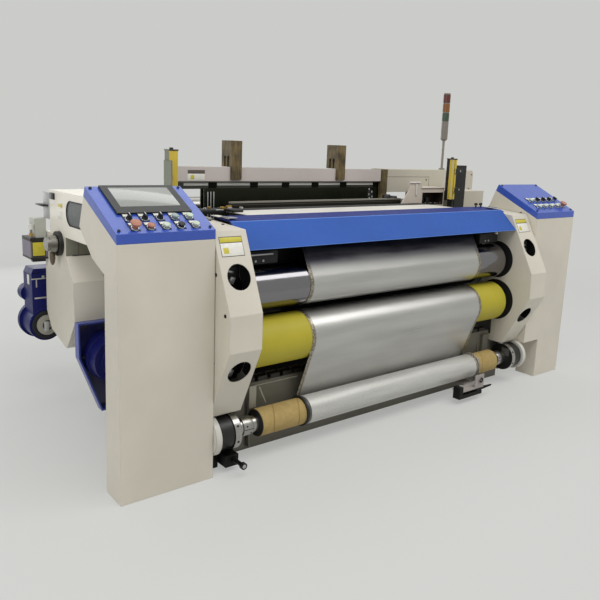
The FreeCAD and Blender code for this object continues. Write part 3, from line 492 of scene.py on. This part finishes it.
turned_steel = metal("turned_steel", "#A8A6A1", 0.3, stretch=(1, 0.05, 0.05))
dress(metal("polished_hard_chrome", "#8A888B", 0.13, (0.02, 1, 1), 700, 0.05), "take_up_roller")
dress(turned_steel, "back_rest_roller", "warp_beam", "crank_coupling")
dress(black_rubber, "press_roller")
finish, shader, place = new_finish("yellow_ground_polyurethane", Specular_IOR_Level=0.35)
drawn = add(finish, "Mapping", Vector=place, Scale=(1, 0.1, 0.1))
rings = add(finish, "TexNoise", Vector=drawn, Scale=160, Detail=3)
cloud = add(finish, "TexNoise", Vector=place, Scale=5, Detail=5)
tone = add(finish, "Mix", cloud, "#B9AD34", "#A39728")
surface(finish, shader, tone, rings, 0.15, 0.0004, rings, 0.46, 0.62)
dress(finish, "rubber_roller")


# Cloth: fine woven wire cloth, 1.24 m wide, taut from the fell over the bar and the rollers
# to its roll. Its edges are bound and frayed, and fine ripples lie across its free run.

winder_axle = (-0.638, 0.163)
cloth_left, cloth_right = -0.58, 0.66
lift = 0.0012
stops = [(-0.082, 1, 0, 1), (-0.52, 0.956, 0.04 + lift, 1), (*take_up_axle, 0.099 + lift, 1),
    (-0.408, 0.64, 0.05 + lift, -1), (*rubber_axle, 0.113 + lift, 1), (*winder_axle, 0.067 + lift, -1)]


def straight(first, second):
    """Both ends of the run that touches two round stops, each (y, z, radius, turn)."""
    across, up = second[0] - first[0], second[1] - first[1]
    offset = second[3] * second[2] - first[3] * first[2]
    heading = atan2(up, across) - asin(offset / hypot(across, up))
    return [(y + turn * radius * sin(heading), z - turn * radius * cos(heading))
            for y, z, radius, turn in (first, second)]


path = []
runs = [straight(a, b) for a, b in zip(stops, stops[1:])]
for number, (start, end) in enumerate(runs):
    count = max(2, round(dist(start, end) / 0.012))
    path += [(*(s + (e - s) * k / count for s, e in zip(start, end)), number) for k in range(count)]
    if number + 1 < len(runs):
        y, z, radius, turn = stops[number + 1]
        begin = atan2(end[1] - z, end[0] - y)
        leave = runs[number + 1][0]
        sweep = ((atan2(leave[1] - z, leave[0] - y) - begin) * turn) % (2 * pi)
        count = max(2, round(sweep * radius / 0.006))
        angles = [begin + turn * sweep * k / count for k in range(count)]
        path += [(y + radius * cos(angle), z + radius * sin(angle), -1) for angle in angles]
path.append((*runs[-1][1], -1))
measure = [0.0]
for before, after in zip(path, path[1:]):
    measure.append(measure[-1] + dist(before[:2], after[:2]))
cloth_length = measure[-1]
rows = len(path) - 1
free_run = len(runs) - 1
select_only()
bpy.ops.mesh.primitive_grid_add(x_subdivisions=64, y_subdivisions=rows, size=1, location=(0, 0, 0))
cloth = bpy.context.object
for vertex in cloth.data.vertices:
    across = vertex.co.x + 0.5
    y, z, run = path[round((vertex.co.y + 0.5) * rows)]
    x = cloth_left + (cloth_right - cloth_left) * across
    if run == free_run:
        top, low = runs[run][0][1], runs[run][1][1]
        down = (top - z) / (top - low)
        ripple = 0.0016 * sin(13 * x + 2 * down) + 0.0012 * sin(31 * x - 5 * down)
        y += sin(pi * down) * (ripple + 0.003 * abs(2 * across - 1) ** 6)
    vertex.co = (x, y, z)
for corner in cloth.data.uv_layers[0].data:
    corner.uv[1] = measure[round(corner.uv[1] * rows)] / cloth_length
thick = cloth.modifiers.new("thickness", "SOLIDIFY")
thick.thickness = 0.0009
thick.offset = 0.0
bpy.ops.object.modifier_apply(modifier="thickness")


def wire_tone(finish, place, bars, grit, low, high, dark, light, from_middle, edge, blend):
    """Colour of wire cloth: streaks and grit between two tones, and knotted selvedges past the edge."""
    mottle = add(finish, "Math", bars, grit, operation="ADD")
    share = add(finish, "MapRange", Value=mottle, From_Min=low, From_Max=high)
    tone = add(finish, "Mix", share, dark, light)
    selvedge = add(finish, "MapRange", Value=from_middle, From_Min=edge, From_Max=edge + blend)
    knots = add(finish, "TexVoronoi", Vector=place, Scale=130)
    knot_share = add(finish, "MapRange", Value=knots, From_Min=0.15, From_Max=0.55)
    knot_tone = add(finish, "Mix", knot_share, "#BFB9AA", "#7F7868")
    return add(finish, "Mix", selvedge, tone, knot_tone)


finish, shader, place = new_finish("woven_stainless_wire_cloth", Metallic=0.9)
flat = add(finish, "VectorMath", add(finish, "UVMap"), (1.24, 1.62, 1), operation="MULTIPLY")
# The real threads lie 0.3 mm apart; they are drawn 2 mm apart so that they show.
wires = [add(finish, "TexWave", Vector=flat, Scale=160, Distortion=0.4, bands_direction=way).outputs[1]
    for way in ("X", "Y")]
weave = add(finish, "Math", wires[0], wires[1], operation="MULTIPLY")
streaks = add(finish, "Mapping", Vector=flat, Scale=(1, 9, 1))
bars = add(finish, "TexNoise", Vector=streaks, Scale=2, Detail=4)
grit = add(finish, "TexNoise", Vector=flat, Scale=240, Detail=3)
aside = add(finish, "Math", add(finish, "SeparateXYZ", flat), 0.62, operation="SUBTRACT")
from_middle = add(finish, "Math", aside, operation="ABSOLUTE")
cloth_tone = wire_tone(finish, flat, bars, grit, 0.6, 1.4, "#ADACA9", "#CBCAC6", from_middle, 0.598, 0.004)
# The turn just under the cover is painted dark, a painted shadow of the cover, which fades out over the roller.
height = add(finish, "SeparateXYZ", place).outputs["Z"]
cover_shade = add(finish, "MapRange", Value=height, From_Min=0.8, From_Max=0.872, interpolation_type="SMOOTHSTEP")
patches = add(finish, "MapRange", Value=bars, From_Min=0.2, From_Max=0.6, To_Min=0.72)
share = add(finish, "Math", cover_shade, patches, operation="MULTIPLY")
tone = add(finish, "Mix", share, cloth_tone, "#34333C")
surface(finish, shader, tone, weave, 0.25, 0.0006, bars, 0.24, 0.35)
settle(cloth, "woven_cloth", finish)
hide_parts("cloth_web")

wire_end = turned([(0.0006, -0.002), (0.0006, 0.002), (0.0005, 0.004), (0.0003, 0.006)], 4)
places, tilts = [], []
for y, z, run in path[4:-2]:
    for side, x in ((-1, cloth_left), (1, cloth_right)):
        if random.random() >= 0.62:
            tilts.append((random.uniform(-0.5, 0.5), side * quarter + random.uniform(-0.5, 0.5), 0))
            places.append((x + side * random.uniform(-0.006, 0.001), y, z))
settle(copies(wire_end, places, tilts), "selvedge_wire_ends", metal("frayed_stainless_wire", "#B5AFA2", 0.35))


# Winder: a steel shaft with split clamping collars and rimmed discs, a wound kraft paper
# tube pushed over its plugs, and the cloth roll with a loose outer turn.

roll = ring([(0.0622, -0.58), (0.067, -0.58), (0.067, -0.555), (0.067, -0.2), (0.067, 0.2), (0.067, 0.635),
    (0.067, 0.66), (0.0622, 0.66)], 96)
for vertex in roll.data.vertices:
    distance = hypot(vertex.co.x, vertex.co.y)
    if distance > 0.065:
        # Turned to lie along x, local x points down and local y stays along y.
        angle = atan2(-vertex.co.x, vertex.co.y)
        step = 0.0015 * (1 - angle / pi) if angle >= 0 else 0.0
        scale = (0.067 - step) / distance
        vertex.co.x *= scale
        vertex.co.y *= scale
finish, shader, place = new_finish("wound_wire_cloth", Metallic=0.5)
drawn = add(finish, "Mapping", Vector=place, Scale=(1, 12, 12))
bars = add(finish, "TexNoise", Vector=drawn, Scale=2.2, Detail=4)
grit = add(finish, "TexNoise", Vector=place, Scale=260, Detail=3)
aside = add(finish, "Math", add(finish, "SeparateXYZ", place), 0.04, operation="SUBTRACT")
tone = wire_tone(finish, place, bars, grit, 0.75, 1.25, "#B4B3AE", "#CDCCC7", aside, 0.6, 0.006)
surface(finish, shader, tone, grit, 0.2, 0.0004, bars, 0.42, 0.56)
roll = spread("wound_cloth", roll, [(0, *winder_axle)], finish, along_x, "winder")
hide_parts("cloth_roll")

finish, shader, place = new_finish("spiral_wound_kraft_paper", Roughness=0.8, Specular_IOR_Level=0.3)
fibre = add(finish, "TexNoise", Vector=place, Scale=30, Detail=8, Roughness=0.7)
slant = add(finish, "Mapping", Vector=place, Rotation=(0, 0, 0.5))
seams = add(finish, "TexWave", Vector=slant, Scale=2.6, Distortion=1.2, wave_profile="SAW").outputs[1]
line = add(finish, "MapRange", Value=seams, From_Min=0.94, From_Max=0.98)
paper = add(finish, "Mix", fibre, "#8C7644", "#BFA66E")
tone = add(finish, "Mix", line, paper, "#8C7442")
bump = add(finish, "Bump", Height=fibre, Strength=0.3, Distance=0.0008)
feed(shader, Base_Color=tone, Normal=bump)
dress(finish, "paper_tube")

finish, shader, place = new_finish("turned_steel_and_black_rubber")
off_middle = add(finish, "Math", add(finish, "SeparateXYZ", place), operation="ABSOLUTE")
# The drums, the flanges' outer faces and the plugs are black, each given by its middle and half its length.
is_black = None
for middle, half in ((1.0369, 0.03209), (0.974, 0.0004), (0, 0.85029)):
    near = add(finish, "Math", off_middle, middle, half, operation="COMPARE")
    is_black = add(finish, "Math", is_black, near, operation="MAXIMUM") if is_black else near
drawn = add(finish, "Mapping", Vector=place, Scale=(1, 0.05, 0.05))
marks = add(finish, "TexNoise", Vector=drawn, Scale=600, Detail=3)
steel = add(finish, "Mix", marks, "#B9B7B2", "#8E8B85")
tone = add(finish, "Mix", is_black, steel, "#0D0E0C")
surface(finish, shader, tone, marks, 0.12, 0.0003, is_black, 0.26, 0.4)
feed(shader, Metallic=add(finish, "Math", 1, is_black, operation="SUBTRACT"))
dress(finish, "winding_shaft")


def round_axle(x, radius, angles):
    """Places round the winder's axle with their turns, each at its angle up from the front."""
    y, z = winder_axle
    return ([(x, y - radius * cos(angle), z + radius * sin(angle)) for angle in angles],
            [(quarter - angle, 0, 0) for angle in angles])


def on_axle(name, outline, x, finish):
    """A ring on the winder's axle, which turns with it."""
    spread(name, ring(outline, 64), [(x, *winder_axle)], finish, along_x, "winder")


for side, name in hands:
    on_axle(name + "_split_collar", [(0.0374, 0), (0.0418, 0.0006), (0.0426, 0.002), (0.0426, 0.05), (0.0418, 0.0514),
        (0.0374, 0.052)], side * 0.912 - 0.026, turned_steel)
    on_axle(name + "_tube_plug", [(0.0245, 0), (0.06, 0), (0.0604, 0.0006), (0.0604, 0.003), (0.0245, 0.003)],
            side * 0.8525 - 0.0015, black_rubber)
    screws = [copies(socket_screw(0.0052, 0.001), *round_axle(side * 0.9895, 0.0802,
        (-0.35, 0.55, 1.5, 2.6, 3.7, 4.7)))]
    for angle, dx in ((0.3, -0.01), (-0.55, 0.014)):
        screws.append(copies(socket_screw(0.004, 0.0012), *round_axle(side * 0.912 + dx, 0.0428, (angle,))))
    slit = rounded_block((0.05, 0.0012, 0.003), 0.0003)
    slit.rotation_euler = (0.05, 0, 0)
    slit.location = (side * 0.912, -0.6804, 0.161)
    settle(joined([*screws, slit]), name + "_rim_screws", black_oxide, "winder")
on_axle("roll_end_band", [(0.0625, 0), (0.069, 0), (0.0705, 0.0015), (0.0705, 0.0105), (0.069, 0.012),
    (0.0625, 0.012)], -0.607, black_rubber)
on_axle("roll_end_tape", [(0.0621, 0), (0.0655, 0), (0.0661, 0.001), (0.0661, 0.014), (0.0655, 0.015),
    (0.0621, 0.015)], -0.5952, moulded("dark_grey_polyester_tape", "#4A4946", 0.3))

finish, shader, place = new_finish("twisted_selvedge_wire", Metallic=0.5, Roughness=0.5)
drawn = add(finish, "Mapping", Vector=add(finish, "UVMap"), Scale=(9, 1, 1))
stripe = add(finish, "TexWave", Vector=drawn, Scale=2.2, Distortion=1.5, bands_direction="DIAGONAL").outputs[1]
feed(shader, Base_Color=add(finish, "Mix", stripe, "#211F1A", "#C2BDAE"))
select_only()
bpy.ops.mesh.primitive_torus_add(major_radius=0.0672, minor_radius=0.0064, major_segments=96, minor_segments=12,
    location=(0.668, *winder_axle), rotation=along_x)
selvedge = bpy.context.object
for vertex in selvedge.data.vertices:
    angle = atan2(vertex.co.y, vertex.co.x)
    vertex.co.z += 0.002 * sin(5 * angle) + 0.0012 * sin(13 * angle)
settle(selvedge, "roll_end_selvedge", finish, "winder")

white_enamel = enamel("white_machine_enamel", "#CFCCC3", "#E4E2DB")
dress(white_enamel, "winder_heads")
for side, name in hands:
    head = ring([(0.03, 0), (0.03, 0.003), (0.056, 0.003), (0.058, 0.0016), (0.061, 0.0016), (0.063, 0.004),
        (0.076, 0.004), (0.078, 0.002), (0.084, 0.0012), (0.084, 0)], 72)
    spread(name + "_winder_head_ring", head, [(side * 1.102, *winder_axle)], white_enamel,
        (0, side * quarter, 0))


# Brackets of the winder: a black block with a knurled lock screw at the left, and at the
# right a zinc plated angle over a black tray with its spike lever.

# The breast bar is given this black as painted shade, for the dark under the cover.
dress(enamel("black_bracket_enamel", "#0A0A09", "#33312E", 0.5, Specular_IOR_Level=0.2, zones=[
    ("#A39C97", {"X": (0.47, 0.67), "Z": (0.0618, 0.141)})]), "roll_brackets", "clamp_lever", "breast_bar", "sley")
dress(black_oxide, "lock_screw")
spread("lock_screw_tip", turned([(0.0086, 0), (0.0086, 0.001), (0.006, 0.0022), (0.0006, 0.0024)], 24),
       [(-1, -0.776, 0.052)], bright_steel, facing_front, "lock")
blocks("flange_plate", [((0.001, 0.052, 0.046), (0.9734, -0.664, 0.2))],
       metal("anodised_plate", "#5C5A55", 0.4, metallic=0.3), edge=0.0004, body="winder")
bolt = ring([(0.004, 0), (0.015, 0), (0.016, 0.001), (0.015, 0.0024), (0.011, 0.0024), (0.01, 0.0008),
    (0.005, 0.0006)], 36)
spread("bracket_bolt_ring", bolt, [(0.628, -0.7542, 0.112)], black_oxide, facing_front)


# Weaving zone: aluminium heald frames with wire heddles, hardwood guides, a reed of steel
# dents in an aluminium cap, and the sley that carries it.

hooks = (-0.745, -0.537, -0.262, -0.034, 0.194, 0.427, 0.719)
heald_zones = [("#34372C", {"Z": (0.76, 1.1325)}), ("#4E4E49", {"Z": (1.1325, 1.165), "Y": (0.274, 0.286)})]
heald_zones += [("#1B1B18", {"X": (x - 0.0255, x + 0.0255), "Z": (1.133, 1.167), "Y": (0.271, 0.2745)})
    for x in hooks[1:]]
dress(metal("anodised_aluminium", "#8E8D88", 0.42, (0.05, 1, 1), zones=heald_zones), "heald_frame_front",
    "heald_frame_rear")
# The cap's lower front and the dents below it are painted dark brown, a painted reflection on the cap and painted
# shade among the dents; the thin lighter line is a painted highlight.
dress(metal("drawn_aluminium_profile", "#A19D93", 0.35, (0.05, 1, 1), metallic=0.6, zones=[
    ("#2A2721", {"Z": (0.93, 1.0765)}), ("#5E5A50", {"Z": (1.066, 1.069)})]), "reed")
finish, shader, place = new_finish("oiled_beech", Roughness=0.55)
drawn = add(finish, "Mapping", Vector=place, Scale=(1, 1, 0.08))
grain = add(finish, "TexNoise", Vector=drawn, Scale=160, Detail=6)
cloud = add(finish, "TexNoise", Vector=place, Scale=18, Detail=4)
stain = add(finish, "Math", grain, cloud, operation="MULTIPLY")
share = add(finish, "MapRange", Value=stain, From_Min=0.15, From_Max=0.36)
tone = add(finish, "Mix", share, "#3F351C", "#786641")
bump = add(finish, "Bump", Height=grain, Strength=0.3, Distance=0.0006)
feed(shader, Base_Color=tone, Normal=bump)
dress(finish, "wooden_blocks")
blocks("heald_edge_strips", [((b - a - 0.058, 0.0016, 0.014), ((a + b) / 2, 0.274, 1.155))
    for a, b in zip(hooks, hooks[1:])], white_plate, edge=0.0005, body="healds_front")
rod = turned([(0.003, 0.85), (0.0034, 0.852), (0.0034, 1.112), (0.003, 1.114)], 12)
spread("heald_stay_rods", rod, [(x, 0.27, 0) for x in (-0.569, -0.55, -0.531)], bright_steel,
    body="healds_front")
blocks("heald_end_strips", [((0.05, 0.004, 0.3), (0.678, 0.28, 0.98))], black_rubber, body="healds_front")
eyes = ((0.662, 1.12), (0.662, 1.085), (0.688, 1.102), (0.668, 1.06), (0.692, 1.07))
blocks("heald_end_eyes", [((0.004, 0.004, 0.012), (x, 0.276, z)) for x, z in eyes], white_plate,
    body="healds_front")


# Temple and clamp by the reed: a black base with brass and bright bits at the left of the
# cloth, a rounded clamp at the cap's right end, and a thin black strip along the cover's rear edge.

blocks("cover_rear_black_strip", [((1.382, 0.078, 0.0024), (0.029, -0.144, 1.0582))], black_rubber, edge=0.0005)
blocks("temple_base", [((0.058, 0.15, 0.012), (-0.718, -0.19, 1.0632)),
    ((0.15, 0.092, 0.02), (-0.82, -0.152, 1.0555))], black_rubber, edge=0.003)
blocks("guard_top_tab", [((0.036, 0.064, 0.003), (-0.936, -0.436, 1.064))], cream_enamel)
blocks("temple_brass", [((0.018, 0.016, 0.014), (-0.76, -0.19, 1.0715)), ((0.03, 0.01, 0.01), (-0.7, -0.15, 1.0735)),
    ((0.012, 0.012, 0.012), (-0.812, -0.15, 1.071))], metal("drawn_brass", "#B08D3E", 0.35, metallic=0.8),
    edge=0.002)
blocks("temple_bright", [((0.022, 0.008, 0.01), (-0.735, -0.215, 1.073)),
    ((0.01, 0.02, 0.008), (-0.66, -0.2, 1.0725)), ((0.04, 0.006, 0.006), (-0.8, -0.23, 1.0675)),
    ((0.01, 0.01, 0.01), (-0.85, -0.18, 1.07))], bright_steel, edge=0.0015)
clamp = turned([(0.023, 0), (0.026, 0.004), (0.026, 0.03), (0.022, 0.036), (0.001, 0.037)], 32)
spread("reed_clamp", clamp, [(0.56, 0.016, 1.07), (0.62, 0.016, 1.06)], black_nylon, body="sley_and_reed")


# Side frames' bolts and flanges: hexagon tie bolts into the cross beams, a flange round the
# rocker shaft's end, and bolted bearing flanges for the back rest and the warp beam.

frame_face = 1.0598
rocker = ring([(0.0315, 0), (0.06, 0), (0.06, 0.008), (0.056, 0.01), (0.04, 0.01), (0.038, 0.012), (0.0315, 0.012)],
    48)
spread("rocker_flange", rocker, [(frame_face, 0.04, 0.3)], grey_enamel, along_x)
for side, name in hands:
    outward = (0, side * quarter, 0)
    bolt = turned([(0.014, 0), (0.014, 0.0022), (0.01, 0.0026), (0.01, 0.0098), (0.0084, 0.0112), (0.0008, 0.0114)],
        24)
    spots = [(0.452, 0.175), (0.452, 0.265), (0.508, 0.175), (0.508, 0.265), (-0.56, 0.06), (-0.56, 0.19)]
    spread(name + "_tie_bolts", bolt, [(side * frame_face, *spot) for spot in spots], bright_steel, outward)
    for where, y, z, bore, edge in (("back_rest", 0.78, 0.985, 0.0262, 0.052),
            ("warp_beam", 0.95, 0.53, 0.0462, 0.086)):
        flange = ring([(bore, 0), (edge, 0), (edge, 0.008), (edge - 0.004, 0.01), (bore + 0.01, 0.01),
            (bore + 0.008, 0.012), (bore, 0.012)], 48)
        spread(f"{name}_{where}_flange", flange, [(side * frame_face, y, z)], grey_enamel, outward)
        across = (edge + bore) / 2 + 0.004
        angles = [0.785 + k * quarter for k in range(4)]
        spots = [(side * 1.0695, y + across * cos(a), z + across * sin(a)) for a in angles]
        bolt = turned([(0.0072, 0), (0.0072, 0.005), (0.006, 0.0062), (0.0008, 0.0064)], 6)
        spread(f"{name}_{where}_bolts", bolt, spots, bright_steel, outward)


# Drives: the motors are cast iron and sheet in gloss navy enamel, the hub and coupling are
# turned steel, and the oil pump is die cast aluminium.

dress(enamel("navy_enamel", "#12175A", "#2A327E", 0.4, Specular_IOR_Level=0.25), "main_motor", "gear_motor")
# The tray inside the guard's rim is painted dark navy, a painted shade in its recess.
dress(enamel("blue_gloss_enamel", "#2E419C", "#6070B8", 0.35, Coat_Weight=0.4, zones=[
    ("#12164C", {"X": (-1.4085, -1.0845), "Y": (-0.0025, 0.005)})]), "motor_guard")
dress(metal("die_cast_aluminium", "#8B8984", 0.5, metallic=0.2, zones=[
    ("#B9BBB1", {"Z": (0.8885, 0.99), "X": (-1.464, -1.4)}), ("#7A7380", {"Z": (0.785, 0.8885)}),
    ("#2A2723", {"Z": (0.874, 0.8905)}), ("#2A2723", {"Z": (0.785, 0.796)}),
    ("#A8853A", {"Z": (0.899, 0.915), "X": (-1.486, -1.463)}),
    ("#D3D1CB", {"Z": (0.931, 0.957), "X": (-1.488, -1.461)})]), "lubricator")
dress(metal("ground_cast_steel", "#B9B6A8", 0.4, metallic=0.3), "output_hub")
label("pump_label", 0.058, 0.066, (-1.4445, 0.3898, 0.836), facing_front, yellow_label)
label("pump_label_frame", 0.066, 0.078, (-1.4445, 0.3899, 0.836), facing_front, black_nylon)
blocks("pump_foot_bar", [((0.062, 0.03, 0.012), (-1.442, 0.41, 0.779))], black_nylon)
spread("shaft_oil_nozzle", turned([(0.004, 0), (0.0095, 0.01), (0.013, 0.03), (0.013, 0.058), (0.012, 0.062)], 24),
       [(-1.434, 0.225, 0.783)], metal("cast_bronze", "#6B6150", 0.4, metallic=0.4))
# A grey-green plate over the case's upper front face is painted shade: it stands for that face in the shadow of the
# housing above.
blocks("case_plate", [((0.146, 0.0016, 0.086), (-1.3255, 0.1412, 0.877))],
       enamel("case_front_painted_shade", "#7E7D6F", "#98978A", 0.45))
blocks("case_plate_seam", [((0.0016, 0.002, 0.084), (-1.34, 0.1404, 0.877)),
    ((0.1, 0.003, 0.0024), (-1.32, 0.14, 0.8345))], black_nylon, edge=0.0004)
for name, z in (("top", 1.0925), ("low", 0.9835)):
    blocks("window_edge_" + name, [((0.004, 0.325, 0.006), (-1.4, -0.0985, z))], black_rubber)
bow = ring([(0.0535, 0), (0.058, 0), (0.058, 0.004), (0.0535, 0.004)], 48)
edit_whole()
bpy.ops.mesh.bisect(plane_co=(0, 0, 0), plane_no=(0, 1, 0), clear_inner=True, use_fill=True)
bpy.ops.object.mode_set(mode="OBJECT")
spread("window_edge_bow", bow, [(-1.402, 0.06, 1.038)], black_rubber, along_x)
blocks("housing_end_plate", [((0.003, 0.094, 0.128), (-1.399, 0.393, 1.048))],
       enamel("light_grey_enamel", "#A9AAA8", "#C9C9C5", 0.45))
blocks("housing_end_handle", [((0.034, 0.11, 0.008), (-1.412, 0.415, 1.049)),
    ((0.01, 0.06, 0.03), (-1.402, 0.296, 1.1))], black_nylon, edge=0.002)
label("motor_plate", 0.034, 0.05, (-1.4524, 0.56, 0.656), facing_side, white_label)
motor_steel = metal("zinc_plated_fittings", "#C6C6C2", 0.35, metallic=0.3)
blocks("motor_straps", [((0.07, 0.006, 0.006), (-1.418, 0.501, 0.666)), ((0.006, 0.004, 0.04), (-1.43, 0.5, 0.642)),
    ((0.06, 0.004, 0.008), (-1.412, 0.5, 0.566)), ((0.012, 0.01, 0.012), (-1.396, 0.502, 0.675))], motor_steel,
    edge=0.0015)
seal = ring([(0.055, 0), (0.074, 0), (0.0745, 0.003), (0.07, 0.005), (0.055, 0.005)], 64)
spread("hub_seal_ring", seal, [(-1.388, 0.4942, 0.424)], black_rubber, facing_front)
blocks("hub_key", [((0.022, 0.012, 0.05), (-1.396, 0.473, 0.42))], motor_steel, edge=0.002, body="hub")
face = ring([(0.018, 0), (0.026, 0), (0.0262, 0.0016), (0.018, 0.0016)], 40)
spread("hub_inner_ring", face, [(-1.388, 0.4779, 0.424)], black_rubber, facing_front, "hub")
spread("motor_guard_screws", socket_screw(0.006, 0.004),
    [(x, -0.0605, z) for x, z in ((-1.402, 0.546), (-1.386, 0.546), (-1.402, 0.4))], black_oxide,
    facing_front)


# Long box at the right: folded beige sheet with a hinged door. Its door shows as a thin
# dark gap, with a turn latch at the corner and small dark screws at its end.

blocks("box_door_gap", [((0.424, 0.0012, 0.0022), (1.03, 0.2696, 1.202)),
    ((0.0022, 0.0012, 0.098), (1.242, 0.2696, 1.153))], dark_label, edge=0.0003)
blocks("box_latch", [((0.012, 0.004, 0.004), (1.213, 0.2686, 1.184)), ((0.004, 0.004, 0.01), (1.213, 0.2686, 1.18))],
       black_nylon)
spread("box_screws", socket_screw(0.0045, 0.003), [(x, 0.27, z)
    for x, z in ((1.7, 1.118), (1.65, 1.118), (1.722, 1.22))], black_oxide, facing_front)


# Weft box: a white handle on its cap, black guides in its mouth and the clipped ends of
# the weft wires lying before it.

blocks("weft_box_handle", [((0.094, 0.01, 0.007), (0.684, -0.1035, 1.187)),
    ((0.005, 0.004, 0.07), (0.696, -0.1065, 1.143))], white_plate)
blocks("weft_box_guides", [((0.03, 0.016, 0.04), (0.85, -0.06, 1.07)), ((0.15, 0.01, 0.008), (0.86, -0.08, 1.052)),
    ((0.06, 0.01, 0.02), (0.8, -0.05, 1.1))], black_rubber, edge=0.002)
places = [(0.6 + 0.0125 * k, -0.13 - 0.01 * sin(1.7 * k), 1.0585 + 0.004 * sin(2.3 * k) ** 2) for k in range(26)]
blocks("weft_wire_ends", [((0.03, 0.0016, 0.0016), place) for place in places], bright_steel,
       turn=(0, 0.12, 0.5), edge=0.0004)


# Signal tower and light curtains: a moulded pole lamp with coloured lenses, and two alloy
# posts in yellow enamel with black caps.

finish, shader, place = new_finish("signal_tower_polycarbonate", Roughness=0.3)
levels = (("#344838", 1.6, 1.656), ("#7C4F28", 1.664, 1.72), ("#5A2920", 1.728, 1.784), ("#7A7268", 1.656, 1.664),
    ("#7A7268", 1.784, 1.8), ("#837E73", 1.25, 1.47))
lens_zones = [(shade, {"Z": (low, high)}) for shade, low, high in levels]
feed(shader, Base_Color=zoned(finish, place, "#79726A", lens_zones))
dress(finish, "signal_tower")
dress(enamel("yellow_satin_enamel", "#CDB33F", "#E2D28A", 0.4, [
    *[("#1A1A19", {"X": (x - 0.03, x + 0.03), "Z": (1.333, 1.35)}) for x in (1, -1)],
    ("#1A1A19", {"X": (-1.03, 1.03), "Z": (0.98, 1.082)}), ("#0B0B09", {"Y": (-0.101, -0.087), "X": (1.0182, 1.18)}),
    *[("#1A1A19", {"X": (1, 1.085), "Y": (-0.156, -0.092), "Z": (z, z + 0.029)}) for z in (1.1275, 1.2455)],
    ("#6C7160", {"X": (-1.023, -1.0178)}), ("#101012", {"X": (0.973, 0.9745), "Y": (-0.1235, -0.098)}),
    ("#B8B9B8", {"X": (0.9738, 0.9775), "Y": (-0.1455, -0.1445)}),
    ("#3A3214", {"X": (0.996, 1.001), "Y": (-0.146, -0.144)})]), "light_curtains")
spread("curtain_clamp_screws", socket_screw(0.006, 0.003), [(1.046, -0.155, 1.261), (1.046, -0.155, 1.143)],
       bright_steel, facing_front)


# Studio: a pale floor that fades into a pale background, even light all round, one long
# soft box above the front, one above the back, one low behind and one at the left.

def shows_itself(owner):
    """1 for the rays that see a surface as it is: from the camera, mirrors and glass."""
    rays = add(owner, "LightPath").outputs
    seen = add(owner, "Math", rays["Is Camera Ray"], rays["Is Glossy Ray"], operation="MAXIMUM")
    return add(owner, "Math", seen, rays["Is Transmission Ray"], operation="MAXIMUM")


pale = "#CBCCC9"
scene = bpy.context.scene
world = scene.world or bpy.data.worlds.new("studio")
scene.world = world
world.use_nodes = True
seen = shows_itself(world)
level = add(world, "MapRange", Value=seen, To_Min=0.46)
hue = add(world, "Mix", seen, (1, 1, 1, 1), pale)
feed(world.node_tree.nodes["Background"], Strength=level, Color=hue)

select_only()
bpy.ops.mesh.primitive_circle_add(vertices=96, radius=30, fill_type="NGON", location=(0, 0, 0))
floor = bpy.context.object
floor.name = "studio_floor"
finish, shader, place = new_finish("matt_floor_paint", Roughness=0.9, Specular_IOR_Level=0.1, Base_Color="#D3D3D0")
far = add(finish, "VectorMath", place, operation="LENGTH")
fade = add(finish, "MapRange", Value=far, From_Min=1.5, From_Max=6.5, To_Min=0.58, interpolation_type="SMOOTHSTEP")
share = add(finish, "Math", shows_itself(finish), fade, operation="MULTIPLY")
glow = add(finish, "Emission", Color=pale, Strength=1)
mixed = add(finish, "MixShader", share, shader, glow)
feed(finish.node_tree.nodes["Material Output"], mixed)
floor.data.materials.append(finish)

for name, place, turn, size, power in (("front_soft_box", (0.3, -2.7, 4.7), (0.5, 0, 0), (8, 2.2), 178),
        ("rear_soft_box", (0.6, 1.9, 4.9), (-0.36, 0, 0), (7, 2), 60),
        ("left_soft_box", (-4.7, -1, 2.5), (1.09, 0, -1.3), (2.4, 2), 40),
        ("back_soft_box", (0, 4.6, 1), (-1.571, 0, 0), (5, 1.4), 60)):
    light = bpy.data.lights.new(name, "AREA")
    light.shape = "RECTANGLE"
    light.size, light.size_y = size
    light.energy = power
    lamp = bpy.data.objects.new(name, light)
    scene.collection.objects.link(lamp)
    lamp.location = place
    lamp.rotation_euler = turn
    lamp.visible_camera = False

scene.view_settings.view_transform = "Standard"
lens = bpy.data.cameras.new("camera")
lens.sensor_width = 36
lens.lens = 39.78
lens.shift_x = 0.0024
lens.shift_y = -0.0274
lens.clip_end = 100
camera = bpy.data.objects.new("camera", lens)
scene.collection.objects.link(camera)
camera.location = (-2.448, -2.901, 1.36)
camera.rotation_euler = (1.37103, -0.0372, -0.66752)
scene.camera = camera
